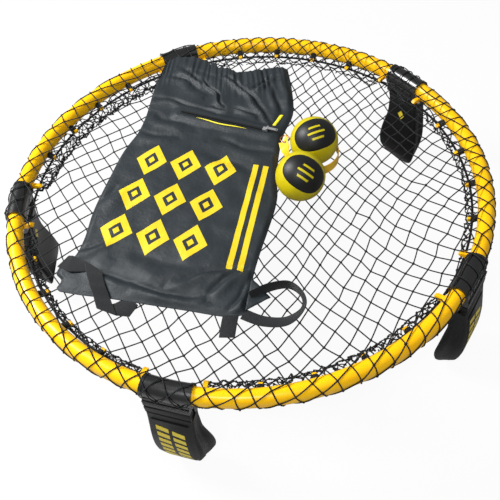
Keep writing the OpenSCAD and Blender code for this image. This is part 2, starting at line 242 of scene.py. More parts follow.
def rounded_leg(node, outwards, along):
    """The leg with its moulded curves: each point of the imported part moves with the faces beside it."""
    mesh = bmesh.new()
    mesh.from_mesh(nodes[node].data)
    bmesh.ops.remove_doubles(mesh, verts=mesh.verts, dist=1e-6)
    for vert in mesh.verts:
        drop = (tube_middle_z - vert.co.z) / mm
        if drop < LEG_FORM[0][0]:
            continue
        form = leg_form_at(min(drop, LEG_FORM[-1][0]))
        _, inner, outer, wide_in, wide_out, push_in, push_out, grow_in, grow_out = form
        out = (vert.co.dot(outwards) - ring_middle_r) / mm
        share = min(max((outer - out) / (outer - inner), 0), 1)
        wide = wide_out + (wide_in - wide_out) * share
        grown = grow_out + (grow_in - grow_out) * share
        vert.co += outwards * (push_out + (push_in - push_out) * share) * mm
        vert.co += along * vert.co.dot(along) * grown / wide
    for face in mesh.faces:
        face.smooth = True
    piece = piece_of(mesh, node + "_moulded", leg_plastic)
    piece.data.set_sharp_from_angle(angle=crisp_edge)
    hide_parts(node)
    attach(piece, node)
    return piece


# A thin, opaque yellow ink that dries matt
pad_ink = material("pad_print_yellow", {"Base Color": colour("#dcc52e"), "Roughness": 0.5})
ink_t = 0.25 * mm

# The prints, in mm: (along the ring, up) from the place of each; bars go down the leg in two columns
bar_w, bar_h, slant, diamond_w, diamond_h, diamond_drop = 21, 11.5, 6, 18, 26, 92
BAR = [
    (-bar_w / 2, slant / 2), (bar_w / 2, -slant / 2),
    (bar_w / 2, -bar_h - slant / 2), (-bar_w / 2, -bar_h + slant / 2),
]
DIAMOND = [(0, diamond_h / 2), (diamond_w / 2, 0), (0, -diamond_h / 2), (-diamond_w / 2, 0)]
BAR_PLACES = [(-15 + 27 * col, 78 + 19 * row + 9 * col) for col in (0, 1) for row in range(7 - col)]


def printed_on(target, name, corners, steps, inwards):
    """A thin patch that follows the part's surface: corners in the part's frame, pressed on along inwards."""
    tree_of_part = BVHTree.FromObject(target, bpy.context.evaluated_depsgraph_get())
    step_back = inwards * 100 * mm
    mesh = bmesh.new()
    for quad in corners:
        rows = []
        for i in range(steps + 1):
            row = []
            for j in range(steps + 1):
                low = quad[0].lerp(quad[1], i / steps)
                high = quad[3].lerp(quad[2], i / steps)
                hit = tree_of_part.ray_cast(low.lerp(high, j / steps) - step_back, inwards)[0]
                row.append(mesh.verts.new(hit - inwards * ink_t))
            rows.append(row)
        for a, b in zip(rows, rows[1:]):
            for j in range(steps):
                mesh.faces.new((a[j], b[j], b[j + 1], a[j + 1]))
    mesh.normal_update()
    skin = list(mesh.faces)
    if skin[0].normal.dot(inwards) > 0:
        bmesh.ops.reverse_faces(mesh, faces=skin)
    bmesh.ops.solidify(mesh, geom=skin, thickness=2 * ink_t)
    return piece_of(mesh, name, pad_ink)


def ways_at(bearing):
    """The directions outwards from the ring's middle, and along the ring, at a bearing."""
    outwards = Vector((math.cos(bearing), math.sin(bearing), 0))
    return outwards, Vector((-outwards.y, outwards.x, 0))


beyond_leg, within_leg = 0.5, 0.35
for k in range(1, 6):
    outwards, along = ways_at(first_leg + leg_pitch * (k - 1))
    moulded = rounded_leg(f"leg_{k}", outwards, along)
    for print_name, shape, places, r, steps, inwards in (
        (f"leg_{k}_bars", BAR, BAR_PLACES, beyond_leg, 6, -outwards),
        (f"leg_{k}_diamond", DIAMOND, [(0, diamond_drop)], within_leg, 8, outwards),
    ):
        quads = []
        for y, drop in places:
            up = tube_middle_z / mm - drop
            quad = [outwards * r + (along * (y + dy) + Vector((0, 0, up + dz))) * mm for dy, dz in shape]
            quads.append(quad)
        print_piece = printed_on(moulded, print_name, quads, steps, inwards)
        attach(print_piece, f"leg_{k}")


# ---------------------------------------------------------------- net
# A knotted nylon net. It is laid over the ring, drawn round the outside of the tubes and hooked
# up under them; what is left over hangs gathered inside the ring. Twine runs straight from knot
# to knot, and each knot is a small hard lump.

ring_low, ring_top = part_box("rim_3")
tube_w, tube_h = 28 * mm, ring_top.z - ring_low.z
ring_r, tube_z = ring_top.y - tube_w / 2, (ring_top.z + ring_low.z) / 2
mesh_side, twine_d, twine_lift = 26.5 * mm, 2.3 * mm, 1.2 * mm
housing_half, housing_swell = 41 * mm, 4.9 * mm


def twisted(name, fibre_mm):
    """Laid nylon twine or rope: dark fibres, their colour painted lighter on the crowns of the bump as a
    painted highlight.
    """

    def fibres(tree, where):
        # One noise both lifts the fibres' crowns and paints them lighter: a painted highlight on the crowns
        lay_and_painted_highlight, black = blotched(tree, where, fibre_mm, "#0a0b0c", "#232528")
        bump = add(tree, "ShaderNodeBump", {"Height": lay_and_painted_highlight, "Distance": 0.3 * mm})
        return {"Base Color": black, "Normal": bump}

    return material(name, {"Roughness": 0.62, "Specular IOR Level": 0.2, "Sheen Weight": 0.05}, fibres)


def tree_with(name, inputs, output):
    """A new tree with named inputs and one body as its output, and the sockets that its inputs give."""
    tree = bpy.data.node_groups.new(name, "GeometryNodeTree")
    for socket, kind in inputs.items():
        tree.interface.new_socket(socket, in_out="INPUT", socket_type="NodeSocket" + kind)
    tree.interface.new_socket(output, in_out="OUTPUT", socket_type="NodeSocketGeometry")
    return tree, add(tree, "NodeGroupInput").outputs


def netting_tree():
    """Turns a sheet into knotted netting: diamonds of twine laid out on the sheet's flat map."""
    inputs = {
        "Sheet": "Geometry", "Map Size": "Float", "Knots Across": "Int", "Twine Diameter": "Float",
        "Slack": "Float", "Twine": "Material",
    }
    tree, given = tree_with("knotted_netting", inputs, "Netting")
    across, knots_across = given["Map Size"], given["Knots Across"]
    size = {"Size X": across, "Size Y": across, "Vertices X": knots_across, "Vertices Y": knots_across}
    grid = add(tree, "GeometryNodeMeshGrid", size)
    quarter_turn = {"Geometry": grid, "Rotation": (0, 0, math.radians(45))}
    diamonds = add(tree, "GeometryNodeTransform", quarter_turn)
    lines = add(tree, "GeometryNodeDeleteGeometry", {"Geometry": diamonds}, domain="FACE", mode="ONLY_FACE")
    vectors = {"data_type": "FLOAT_VECTOR"}
    pull = add(tree, "FunctionNodeRandomValue", {"Min": (-1, -1, 0), "Max": (1, 1, 0), "Seed": 3}, **vectors)
    tug = add(tree, "ShaderNodeVectorMath", {0: pull, "Scale": given["Slack"]}, operation="SCALE")
    knots = add(tree, "GeometryNodeSetPosition", {"Geometry": lines, "Offset": tug})
    twine = add(tree, "GeometryNodeSubdivideMesh", {"Mesh": knots, "Level": 2})
    # The flat map has the lattice's middle at its own middle, and is 1 across
    place = add(tree, "GeometryNodeInputPosition")
    share = add(tree, "ShaderNodeMath", {0: 1.0, 1: across}, operation="DIVIDE")
    scaled = add(tree, "ShaderNodeVectorMath", {0: place, "Scale": share}, operation="SCALE")
    on_map = add(tree, "ShaderNodeVectorMath", {0: scaled, 1: (0.5, 0.5, 0)})
    flat_map = add(tree, "GeometryNodeInputNamedAttribute", {"Name": "flat"}, **vectors)
    reading = {"Mesh": given["Sheet"], "Value": place, "UV Map": flat_map, "Sample UV": on_map}
    sample = add(tree, "GeometryNodeSampleUVSurface", reading, **vectors)
    off_sheet = add(tree, "FunctionNodeBooleanMath", {0: sample.outputs["Is Valid"]}, operation="NOT")
    laid = []
    for body in (twine, knots):
        kept = add(tree, "GeometryNodeDeleteGeometry", {"Geometry": body, "Selection": off_sheet})
        put = {"Geometry": kept, "Position": sample.outputs["Value"]}
        laid.append(add(tree, "GeometryNodeSetPosition", put))
    thick = add(tree, "ShaderNodeMath", {0: given["Twine Diameter"], 1: 0.5}, operation="MULTIPLY")
    profile = add(tree, "GeometryNodeCurvePrimitiveCircle", {"Resolution": 5, "Radius": thick})
    strands = add(tree, "GeometryNodeMeshToCurve", {"Mesh": laid[0]})
    tube = {"Curve": strands, "Profile Curve": profile, "Fill Caps": True}
    tubes = add(tree, "GeometryNodeCurveToMesh", tube)
    # A knot is a lump of its own size and turn
    lump = add(tree, "GeometryNodeMeshUVSphere", {"Segments": 6, "Rings": 5, "Radius": thick})
    sizes = {"Min": (1.8, 1.7, 1.3), "Max": (2.7, 2.4, 1.8), "Seed": 5}
    turns = {"Min": (0, 0, 0), "Max": (0.5, 0.5, 6.3), "Seed": 7}
    knot_size = add(tree, "FunctionNodeRandomValue", sizes, **vectors)
    knot_turn = add(tree, "FunctionNodeRandomValue", turns, **vectors)
    tied = {"Points": laid[1], "Instance": lump, "Rotation": knot_turn, "Scale": knot_size}
    lumps = add(tree, "GeometryNodeInstanceOnPoints", tied)
    whole = add(tree, "GeometryNodeJoinGeometry")
    for body in (tubes, add(tree, "GeometryNodeRealizeInstances", {"Geometry": lumps})):
        tree.links.new(body.outputs[0], whole.inputs[0])
    smooth = add(tree, "GeometryNodeSetShadeSmooth", {"Geometry": whole})
    made = add(tree, "GeometryNodeSetMaterial", {"Geometry": smooth, "Material": given["Twine"]})
    add(tree, "NodeGroupOutput", {0: made})
    return tree


twine, netting = twisted("knotted_nylon_twine", 0.9), netting_tree()


def sheet_of(name, rows, across, place, flat):
    """A sheet of rows x across cells; place and flat give a point and its flat map from 0..1 each way."""
    mesh = bmesh.new()
    layer = mesh.loops.layers.float_vector.new("flat")
    grid = [[mesh.verts.new(place(i / rows, j / across)) for j in range(across + 1)] for i in range(rows + 1)]
    for i in range(rows):
        for j in range(across):
            corners = ((i, j), (i + 1, j), (i + 1, j + 1), (i, j + 1))
            cell = mesh.faces.new([grid[a][b] for a, b in corners])
            for loop, (a, b) in zip(cell.loops, corners):
                loop[layer] = flat(a / rows, b / across).to_3d()
    return piece_of(mesh, name)


def grown(holder, tree, values, name):
    """Runs a tree on a holder, with its inputs set, and leaves only a plain mesh of that name."""
    modifier = holder.modifiers.new(name, "NODES")
    modifier.node_group = tree
    for item in tree.interface.items_tree:
        if item.name in values:
            modifier[item.identifier] = values[item.name]
    depsgraph = bpy.context.evaluated_depsgraph_get()
    data = bpy.data.meshes.new_from_object(holder.evaluated_get(depsgraph))
    bpy.data.objects.remove(holder)
    data.name = name
    return placed(name, data)


def netted(holder, name, map_size, thick, slack):
    """Netting of that name, of one size of mesh, drawn on a sheet."""
    knots = round(map_size / mesh_side) + 1
    values = {"Map Size": map_size, "Knots Across": knots, "Twine Diameter": thick, "Slack": slack}
    return grown(holder, netting, {**values, "Twine": twine}, name)


# The net's way over a tube, from the crest round the outside to the hooks and along them, as
# (outwards, up) from the tube's middle
bend_r, half_straight = tube_w / 2 + twine_lift, (tube_h - tube_w) / 2
along_hooks = [(-20 * mm, -15 * mm), (-28 * mm, -14.5 * mm)]
over_tube = [
    (bend_r * math.cos(a), bend_r * math.sin(a) + (half_straight if a >= 0 else -half_straight))
    for a in (math.radians(d) for d in (*range(90, -1, -9), *range(-1, -151, -9)))
] + along_hooks
way = [0.0]
for (x0, z0), (x1, z1) in zip(over_tube, over_tube[1:]):
    way.append(way[-1] + math.hypot(x1 - x0, z1 - z0))
sheet_r = ring_r + way[-1]


def smoothstep(low, high, x):
    """0 up to low, 1 from high on (or the other way round), and a smooth step between."""
    t = min(max((x - low) / (high - low), 0), 1)
    return t * t * (3 - 2 * t)


# Beside a housing the net comes down over a ramp; inwards of the tube it lies flat again
ramp_from, ramp_w, flat_at, swollen_at = 3 * mm, 5 * mm, -16 * mm, -4 * mm


def swell_at(bearing, out):
    """How far a housing lifts the net off the line of the tubes."""
    past = (bearing - first_leg + leg_pitch / 2) % leg_pitch - leg_pitch / 2
    near = min(max((housing_half + ramp_from - abs(past) * ring_r) / ramp_w, 0), 1)
    return housing_swell * near * smoothstep(flat_at, swollen_at, out)


def over_ring(bearing, r):
    """Where a point of the flat net, at that bearing and radius, lies on the ring."""
    out = r - ring_r
    swell = swell_at(bearing, out)
    if out <= 0:
        across, up, normal = out, over_tube[0][1], (0, 1)
    else:
        i = next(n for n in range(len(way) - 1) if out <= way[n + 1] + 1e-9)
        t = (out - way[i]) / (way[i + 1] - way[i])
        (x0, z0), (x1, z1) = over_tube[i], over_tube[i + 1]
        across, up = x0 + (x1 - x0) * t, z0 + (z1 - z0) * t
        normal = ((z0 - z1) / (way[i + 1] - way[i]), (x1 - x0) / (way[i + 1] - way[i]))
    r = ring_r + across + swell * normal[0]
    return Vector((r * math.cos(bearing), r * math.sin(bearing), tube_z + up + swell * normal[1]))


# The seed of noise_vector, which would otherwise differ from run to run
noise.seed_set(11)

# Where the net was pulled askew as it was hooked on: a place in plan, in mm, and the bearings
# there, in degrees, of the two families of twines
PULLS = [
    ((110, 290), 66, -66), ((190, 160), 65, -40), ((310, 170), 51, -34), ((330, 90), 58, -24),
    ((250, 0), 69, -34), ((170, -60), 73, -42), ((350, -70), 80, -8), ((380, -140), 76, 6),
    ((300, -110), 79, -20), ((200, -110), 75, -44), ((250, -210), 88, -38), ((340, -210), 80, -12),
    ((150, -260), 64, -42), ((200, -340), 60, -40), ((0, -380), 52, -41), ((-300, 100), 45, -45),
    ((-340, -150), 45, -45), ((-150, -370), 47, -43), ((-200, 250), 45, -45), ((-50, 400), 56, -56),
    ((60, 420), 60, -60), ((330, 280), 48, -38), ((420, 60), 50, -30), ((420, -100), 80, 0),
    ((0, 0), 60, -48),
]
# The map is worked out in units of half a metre, from terms of up to the fourth power, and the
# twines drift off it a little
pull_unit_mm, rim_margin, drift, drift_over = 500, 12 * mm, 7 * mm, 0.11
pull_powers = [(a - b, b) for a in range(1, 5) for b in range(a + 1)]


def pull_terms(x, y):
    """The map's terms at a place."""
    return np.array([x**p * y**q for p, q in pull_powers])


def pull_slopes(x, y, dx, dy):
    """How fast each of the map's terms changes at a place, in a direction."""
    return np.array([
        (p * x ** (p - 1) * y**q * dx if p else 0) + (q * x**p * y ** (q - 1) * dy if q else 0)
        for p, q in pull_powers
    ])


# The smooth map whose two families of lines follow those bearings, with meshes of one size. It is
# held towards the plain lattice, the more so the higher the power
hold_low, hold_high = 0.12, 0.24
slopes, steps_on_map = [], []
for place, *bearings in PULLS:
    for degrees, across in zip(bearings, (1, -1)):
        run = math.cos(math.radians(degrees)), math.sin(math.radians(degrees))
        slopes.append(pull_slopes(place[0] / pull_unit_mm, place[1] / pull_unit_mm, *run))
        steps_on_map.append((math.sqrt(0.5), across * math.sqrt(0.5)))
for n, (p, q) in enumerate(pull_powers):
    hold = 0 if p + q == 1 else hold_low if p + q < 4 else hold_high
    slopes.append(np.eye(len(pull_powers))[n] * hold)
    steps_on_map.append((0, 0))
pull_map = np.linalg.lstsq(np.array(slopes), np.array(steps_on_map), rcond=None)[0]


def lattice_at(bearing, r):
    """The place on the flat net's own map, in metres, of a point of the ring's plane."""
    inner, unit = min(r, ring_r - rim_margin), pull_unit_mm * mm
    way_out = Vector((math.cos(bearing), math.sin(bearing)))
    at = Vector(pull_terms(*(way_out * inner / unit)) @ pull_map) * unit + way_out * (r - inner)
    return at + drift * noise.noise_vector(Vector((*at, 0)) / drift_over).to_2d()


net_hub = 1 * mm
inner_rows, rim_rows, flat_edge = 24, 40, ring_r - 20 * mm
net_rows = inner_rows + rim_rows


def net_radius(i):
    """Radii of the sheet's rows: wide ones on the flat, narrow ones over the tube."""
    row = round(i * net_rows)
    if row <= inner_rows:
        return net_hub + (flat_edge - net_hub) * row / inner_rows
    return flat_edge + (sheet_r - flat_edge) * (row - inner_rows) / rim_rows


map_size = 2.9 * sheet_r
net_sheet = sheet_of(
    "net_sheet",
    net_rows,
    360,
    lambda i, j: over_ring(j * math.tau, net_radius(i)),
    lambda i, j: lattice_at(j * math.tau, net_radius(i)) / map_size + Vector((0.5, 0.5)),
)
net = netted(net_sheet, "net_web", map_size, twine_d, 3.2 * mm)
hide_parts("net")
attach(net, "ring")
dress("net_rope", twisted("laid_edge_rope", 2.2))

# The surplus below the hooks, per tube: how far it hangs, how far it stands in, how crumpled it
# is, how much of it is gathered along the tube and how wide a strip of net it is
SURPLUS = {
    1: (9 * mm, 12 * mm, 6 * mm, 2.0, 84 * mm),
    2: (16 * mm, 9 * mm, 7 * mm, 1.7, 60 * mm),
    3: (24 * mm, 6 * mm, 4 * mm, 1.5, 70 * mm),
    4: (30 * mm, 16 * mm, 8 * mm, 2.7, 120 * mm),
    5: (18 * mm, 8 * mm, 5 * mm, 2.3, 70 * mm),
}
hook_in, hook_down, housing_gap, surplus_twine = 23 * mm, 10 * mm, 6 * mm, 2.1 * mm
coarse_over, fine_over = 0.021, 0.009
span = leg_pitch - 2 * (housing_half + housing_gap) / ring_r
for k, (hang, stand_in, crumple, gather, surplus_h) in SURPLUS.items():
    start = first_leg + leg_pitch * (k - 0.5) - span / 2
    flat_len = span * ring_r * gather

    def hanging(i, j):
        """A point i of the way down and j of the way along, pushed about by coarse and fine crumples."""
        along = j * flat_len
        ends = min(1, 12 * j * (1 - j) + 0.25)
        coarse = noise.noise_vector(Vector((along / coarse_over, i * 2.2, k)))
        fine = noise.noise_vector(Vector((along / fine_over, i * 5.0, k + 9)))
        push = crumple * ends * (coarse * 1.5 + fine * 0.6)
        bearing = start + j * span + push.x / ring_r
        r = ring_r - hook_in - stand_in * math.sin(math.pi * i) * ends + push.y * i
        z = tube_z - hook_down - hang * ends * i + push.z * min(1, 2 * i)
        return Vector((r * math.cos(bearing), r * math.sin(bearing), z))

    map_size = 1.45 * flat_len

    def flat(i, j):
        return Vector(((j - 0.5) * flat_len, (i - 0.5) * surplus_h)) / map_size + Vector((0.5, 0.5))

    surplus_sheet = sheet_of("surplus_sheet", 12, 240, hanging, flat)
    surplus = netted(surplus_sheet, f"net_surplus_{k}", map_size, surplus_twine, 3 * mm)
    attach(surplus, "ring")

# Each hook but the two beside a housing holds the net by a few turns of twine, wound along it from
# its root to its tip; both are (outwards from the tube's middle, up)
hook_root, hook_tip = Vector((-11.5, -5.2)) * mm, Vector((-24.5, -10.5)) * mm
turns, turn_steps, hooks_per_rim, end_gap = 6, 16, 6, 13 * mm
half_row = leg_pitch / 2 - (housing_half + end_gap) / ring_r
loop_w, loop_h, squareness, looseness = 5.2 * mm, 4.3 * mm, 0.6, 0.12
loops = bpy.data.curves.new("net_loops", "CURVE")
loops.dimensions, loops.bevel_depth, loops.bevel_resolution = "3D", 1.15 * mm, 1
for k in range(1, 6):
    for i in range(1, hooks_per_rim - 1):
        from_end = 2 * half_row * i / (hooks_per_rim - 1)
        out, along = ways_at(first_leg + leg_pitch * (k - 0.5) - half_row + from_end)
        run = (out * (hook_tip - hook_root).x + Vector((0, 0, (hook_tip - hook_root).y))).normalized()
        up = along.cross(run)
        line = loops.splines.new("POLY")
        line.points.add(turns * turn_steps)
        for n, point in enumerate(line.points):
            share, a = n / (turns * turn_steps), math.tau * n / turn_steps
            wide, high = (math.copysign(abs(t) ** squareness, t) for t in (math.cos(a), math.sin(a)))
            loose = 1 + looseness * noise.noise(Vector((n / 5, i, k)))
            at = hook_root.lerp(hook_tip, share)
            root = out * (ring_r + at.x) + Vector((0, 0, tube_z + at.y))
            point.co = (*(root + (along * loop_w * wide + up * loop_h * high) * loose), 1)
loops.materials.append(twine)
net_loops = placed("net_loops", loops)
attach(net_loops, "ring")


# ---------------------------------------------------------------- balls
# Inflated rubber balls, moulded yellow, with a black panel printed on two opposite sides, a thin
# groove round each panel, and a rubber valve.

panel_half_w, panel_half_h, panel_power = 46 * mm, 33 * mm, 2.4
groove_w, groove_deep = 1.4 * mm, 0.45 * mm
bar_pitch, bar_half_t, mid_bar_half_w, end_bar_half_w = 11 * mm, 2.0 * mm, 17 * mm, 11 * mm


def printed_ball(tree, where):
    """Dull yellow, finely pebbled for grip, with three bars of it left bare in each black oval."""
    pebble_mm = 1.6
    axes = add(tree, "ShaderNodeSeparateXYZ", {"Vector": add(tree, "ShaderNodeUVMap", uv_map="panel")})
    up = add(tree, "ShaderNodeMath", {0: axes.outputs["Y"]}, operation="ABSOLUTE")
    narrowing = {"Value": up, "From Max": bar_pitch, "To Min": mid_bar_half_w, "To Max": end_bar_half_w}
    reach = add(tree, "ShaderNodeMapRange", narrowing)
    # The panel's map runs across and up from its middle, in metres
    found = {"x": axes.outputs["X"], "y": axes.outputs["Y"], "up": up, "reach": reach}
    for name, operation, *terms in (
        ("across", "ABSOLUTE", "x"),
        ("share x", "DIVIDE", "across", panel_half_w),
        ("share y", "DIVIDE", "up", panel_half_h),
        ("power x", "POWER", "share x", panel_power),
        ("power y", "POWER", "share y", panel_power),
        ("edge", "ADD", "power x", "power y"),
        ("panel", "LESS_THAN", "edge", 1.0),
        ("from bar", "WRAP", "y", bar_pitch / 2, -bar_pitch / 2),
        ("off bar", "ABSOLUTE", "from bar"),
        ("on bar", "LESS_THAN", "off bar", bar_half_t),
        ("in reach", "LESS_THAN", "across", "reach"),
        ("low", "LESS_THAN", "up", 1.4 * bar_pitch),
        ("bars", "MULTIPLY", "on bar", "in reach"),
        ("three bars", "MULTIPLY", "bars", "low"),
        ("ink", "SUBTRACT", "panel", "three bars"),
    ):
        inputs = {i: found.get(term, term) for i, term in enumerate(terms)}
        found[name] = add(tree, "ShaderNodeMath", inputs, operation=operation)
    _, skin = blotched(tree, where, 25, "#b3a402", "#cfbf04", 4)
    inked = {"Factor": found["ink"], "A": skin, "B": colour("#141516")}
    pebble = add(tree, "ShaderNodeTexVoronoi", {"Vector": where, "Scale": 1000 / pebble_mm})
    return {
        "Base Color": add(tree, "ShaderNodeMix", inked, data_type="RGBA"),
        "Normal": add(tree, "ShaderNodeBump", {"Height": pebble, "Distance": 0.15 * mm, "Strength": 0.5}),
    }


ball_rubber = material(
    "pebbled_rubber_yellow", {"Roughness": 0.45, "IOR": 1.5, "Specular IOR Level": 0.35}, printed_ball
)
# Duller rubber for the valve
valve_rubber = material("valve_rubber", {"Base Color": colour("#232425"), "Roughness": 0.6})

# For each ball, which way the middle of one panel looks, and which way is up on it
BALLS = {
    "ball_front": (Vector((0.35, -0.52, 0.78)), Vector((0.35, 0.8, 0.4))),
    "ball_rear": (Vector((0.18, -0.42, 0.89)), Vector((-0.5, 0.75, 0.3))),
}
for name, (looks, up) in BALLS.items():
    low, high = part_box(name)
    middle, ball_r = (low + high) / 2, (high.x - low.x) / 2
    looks = looks.normalized()
    side = up.cross(looks).normalized()
    up = looks.cross(side)
    mesh = bmesh.new()
    bmesh.ops.create_icosphere(mesh, subdivisions=6, radius=1)
    panel_map = mesh.loops.layers.uv.new("panel")
    on_panel = {}
    for vert in mesh.verts:
        way_out = vert.co.normalized()
        depth = way_out.dot(looks)
        flat = Vector((way_out.dot(side) * math.copysign(1, depth), way_out.dot(up)))
        arc = math.acos(min(abs(depth), 1)) * ball_r
        flat = flat.normalized() * arc if flat.length > 1e-6 else Vector((0, 0))
        on_panel[vert] = flat
        edge = (abs(flat.x) / panel_half_w) ** panel_power + (abs(flat.y) / panel_half_h) ** panel_power
        off = (edge ** (1 / panel_power) - 1) * panel_half_h
        dip = groove_deep * math.exp(-((off / (groove_w / 2)) ** 2))
        vert.co = middle + way_out * (ball_r - dip)
    for face in mesh.faces:
        face.smooth = True
        for loop in face.loops:
            loop[panel_map].uv = on_panel[loop.vert]
    skin = piece_of(mesh, name + "_skin", ball_rubber)
    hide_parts(name)
    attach(skin, name)
    dress(name + "_valve", valve_rubber)


# ---------------------------------------------------------------- gauge strip and split ring
# A strip of soft vinyl, looped to the ball's size, which shows whether a ball is pumped up enough,
# and the bent copper wire that ties it to the bag.


def vinyl(tree, where):
    """Orange, lightly clouded, with the low gloss of a soft plastic."""
    return {"Base Color": blotched(tree, where, 14, "#f3bb08", "#ffcf1c", 3)[1]}


def drawn_wire(tree, where):
    """Bare copper, its shine broken up by fine scratches."""
    scratch_mm = 3
    scratch = add(tree, "ShaderNodeTexNoise", {"Vector": where, "Scale": 1000 / scratch_mm, "Detail": 4})
    return {"Roughness": add(tree, "ShaderNodeMapRange", {"Value": scratch, "To Min": 0.2, "To Max": 0.4})}


# The strip cut flat, in mm: a loop, and a tail with a swallow-tailed end and a hole for the split
# ring. Along it the tail turns half over on its side, about the line through its hole.
strip_r, strip_t, strip_h, loop_turn = 47.2, 1.4, 20, math.radians(324)
tail_len, tail_notch, hole_at, hole_z, hole_r = 62, 12, 42, 13.7, 3
strip_from, tail_lie, lie_from, lie_to, clear_by = math.radians(203.6), math.radians(56), 4, 34, 8
strip_middle = Vector((118, 73))
strip_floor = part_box("gauge_strip")[0].z


def on_strip(along, up):
    """Where a place of the flat strip comes to: round the loop before 0, along the tail after it."""
    floor_up = Vector((0, 0, strip_floor))
    if along < 0:
        bearing = strip_from - along / strip_r
        at = strip_middle + strip_r * Vector((math.cos(bearing), math.sin(bearing)))
        return Vector((*at, up)) * mm + floor_up
    out = Vector((math.cos(strip_from), math.sin(strip_from), 0))
    onwards = Vector((math.sin(strip_from), -math.cos(strip_from), 0))
    lie = tail_lie * smoothstep(lie_from, lie_to, along)
    leant = -out * math.sin(lie) + Vector((0, 0, math.cos(lie)))
    off = strip_r + strip_t * smoothstep(0, clear_by, along)
    root = strip_middle.to_3d() + out * off + onwards * along
    return (root + Vector((0, 0, hole_z)) + leant * (up - hole_z)) * mm + floor_up


mesh = bmesh.new()
loop_len, slice_len = loop_turn * strip_r, 3
outline = [
    (-loop_len, 0), (tail_len - tail_notch, 0), (tail_len - 1.5 * tail_notch, strip_h / 2),
    (tail_len, strip_h), (-loop_len, strip_h),
]
around_hole = [math.tau * n / 20 for n in range(20)]
hole = [(hole_at + hole_r * math.cos(a), hole_z + hole_r * math.sin(a)) for a in around_hole]
rims = []
for places in (outline, hole):
    ring = [mesh.verts.new((x, y, 0)) for x, y in places]
    rims += [mesh.edges.new((a, b)) for a, b in zip(ring, ring[1:] + ring[:1])]
bmesh.ops.triangle_fill(mesh, edges=rims, use_beauty=True)
for n in range(-int(loop_len), tail_len, slice_len):
    everything = list(mesh.verts) + list(mesh.edges) + list(mesh.faces)
    bmesh.ops.bisect_plane(mesh, geom=everything, plane_co=(n, 0, 0), plane_no=(1, 0, 0))
for vertex in mesh.verts:
    vertex.co = on_strip(vertex.co.x, vertex.co.y)
bmesh.ops.recalc_face_normals(mesh, faces=list(mesh.faces))
bmesh.ops.solidify(mesh, geom=list(mesh.faces), thickness=strip_t * mm)
gauge_band = piece_of(mesh, "gauge_band", material("soft_vinyl_orange", {"Roughness": 0.42}, vinyl))
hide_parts("gauge_strip")
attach(gauge_band, "bag")
copper = material("copper_wire", {"Base Color": colour("#d08a52"), "Metallic": 1.0}, drawn_wire)
dress("split_ring", copper)


# ---------------------------------------------------------------- bag
# A drawstring bag of woven nylon with a thin coating, empty and lying flat on the net, with its
# mouth gathered along a casing. It is smooth where the print stiffens it and creased from the mouth
# down to the zip, with loose diagonal folds at the corners.

(_, _, bag_floor), (_, _, bag_roof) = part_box("bag_body")
bag_fold = 1.2 * mm

# The bag's four edges in plan, in mm: the sides from the bottom up, the ends from left to right
BAG_LEFT = [
    (-236, -322), (-245, -316), (-244, -300), (-259, -288), (-257, -266), (-243, -246), (-243, -205),
    (-254, -137), (-258, -42), (-258, 20), (-250, 70), (-252, 128), (-266, 215), (-270, 283),
]
BAG_RIGHT = [(84, -297), (76, -200), (76, -60), (60, 10), (50, 70), (46, 125), (50, 190), (30, 265), (5, 331)]
BAG_BOTTOM = [(-236, -322), (-200, -321), (-150, -317), (-80, -314), (-11, -311), (56, -308), (84, -297)]
BAG_MOUTH = [
    (-270, 283), (-262, 320), (-222, 334), (-180, 325), (-117, 299), (-80, 302), (-39, 322), (5, 331),
]

# Creases, in mm: the line that each follows, how wide its ridge is and how high it stands
BAG_CREASES = [
    ([(-172, 262), (-150, 236), (-128, 212), (-98, 180)], 3.6, 7.0),
    ([(-123, 266), (-92, 250), (-48, 212), (4, 150)], 7, 8.0),
    ([(-80, 241), (-44, 212), (-3, 162)], 4, 5.5),
    ([(-44, 244), (-30, 260), (-8, 288)], 6, 6.5),
    ([(-120, 312), (-104, 278), (-84, 244)], 4.5, 5.0),
    ([(-118, 172), (-88, 162), (-66, 170), (-28, 158)], 7, 7.0),
    ([(-254, 176), (-212, 170), (-162, 156), (-118, 150)], 9, 5.0),
    ([(-232, 288), (-196, 256), (-158, 240)], 8, 5.0),
    ([(-246, 246), (-208, 238), (-158, 204)], 9, 4.0),
    ([(-22, 254), (4, 210), (18, 172)], 7, 4.5),
    ([(-8, 310), (22, 248), (39, 196)], 8, 4.5),
    ([(-84, 68), (-6, 50), (52, 46)], 12, 4.2),
    ([(-248, 60), (-206, 52), (-168, 62)], 11, 4.0),
    ([(-242, 120), (-200, 104), (-150, 100)], 12, 4.0),
    ([(-100, 20), (-40, 4), (20, -26)], 15, 3.0),
    ([(-240, -140), (-222, -110), (-214, -78)], 12, 3.6),
    ([(24, -283), (48, -244), (74, -224)], 8, 6.0),
    ([(-46, -272), (6, -240), (60, -226)], 9, 5.0),
    ([(66, -302), (80, -268), (84, -240)], 7, 5.0),
    ([(-216, -268), (-155, -290), (-104, -287)], 9, 5.5),
    ([(-140, -286), (-60, -302), (8, -296)], 10, 4.5),
    ([(-240, -252), (-214, -236), (-190, -206)], 9, 4.0),
    ([(-150, -244), (-80, -256), (0, -246)], 16, 3.4),
]


def curve_at(points, t):
    """The point a share t along a smooth curve through points of any size."""
    last = len(points) - 1
    i = min(int(t * last), last - 1)
    around = [Vector(points[min(max(n, 0), last)]) for n in (i - 1, i, i + 1, i + 2)]
    return smooth_between(*around, t * last - i)


def even_along(points, count):
    """count + 1 points evenly along the smooth curve through points."""
    runs = [(Vector(b) - Vector(a)).length for a, b in zip(points, points[1:])]
    made = []
    for n in range(count + 1):
        i, reach = 0, sum(runs) * n / count
        while i < len(runs) - 1 and reach > runs[i]:
            reach -= runs[i]
            i += 1
        made.append(curve_at(points, (i + min(reach / runs[i], 1)) / len(runs)))
    return made


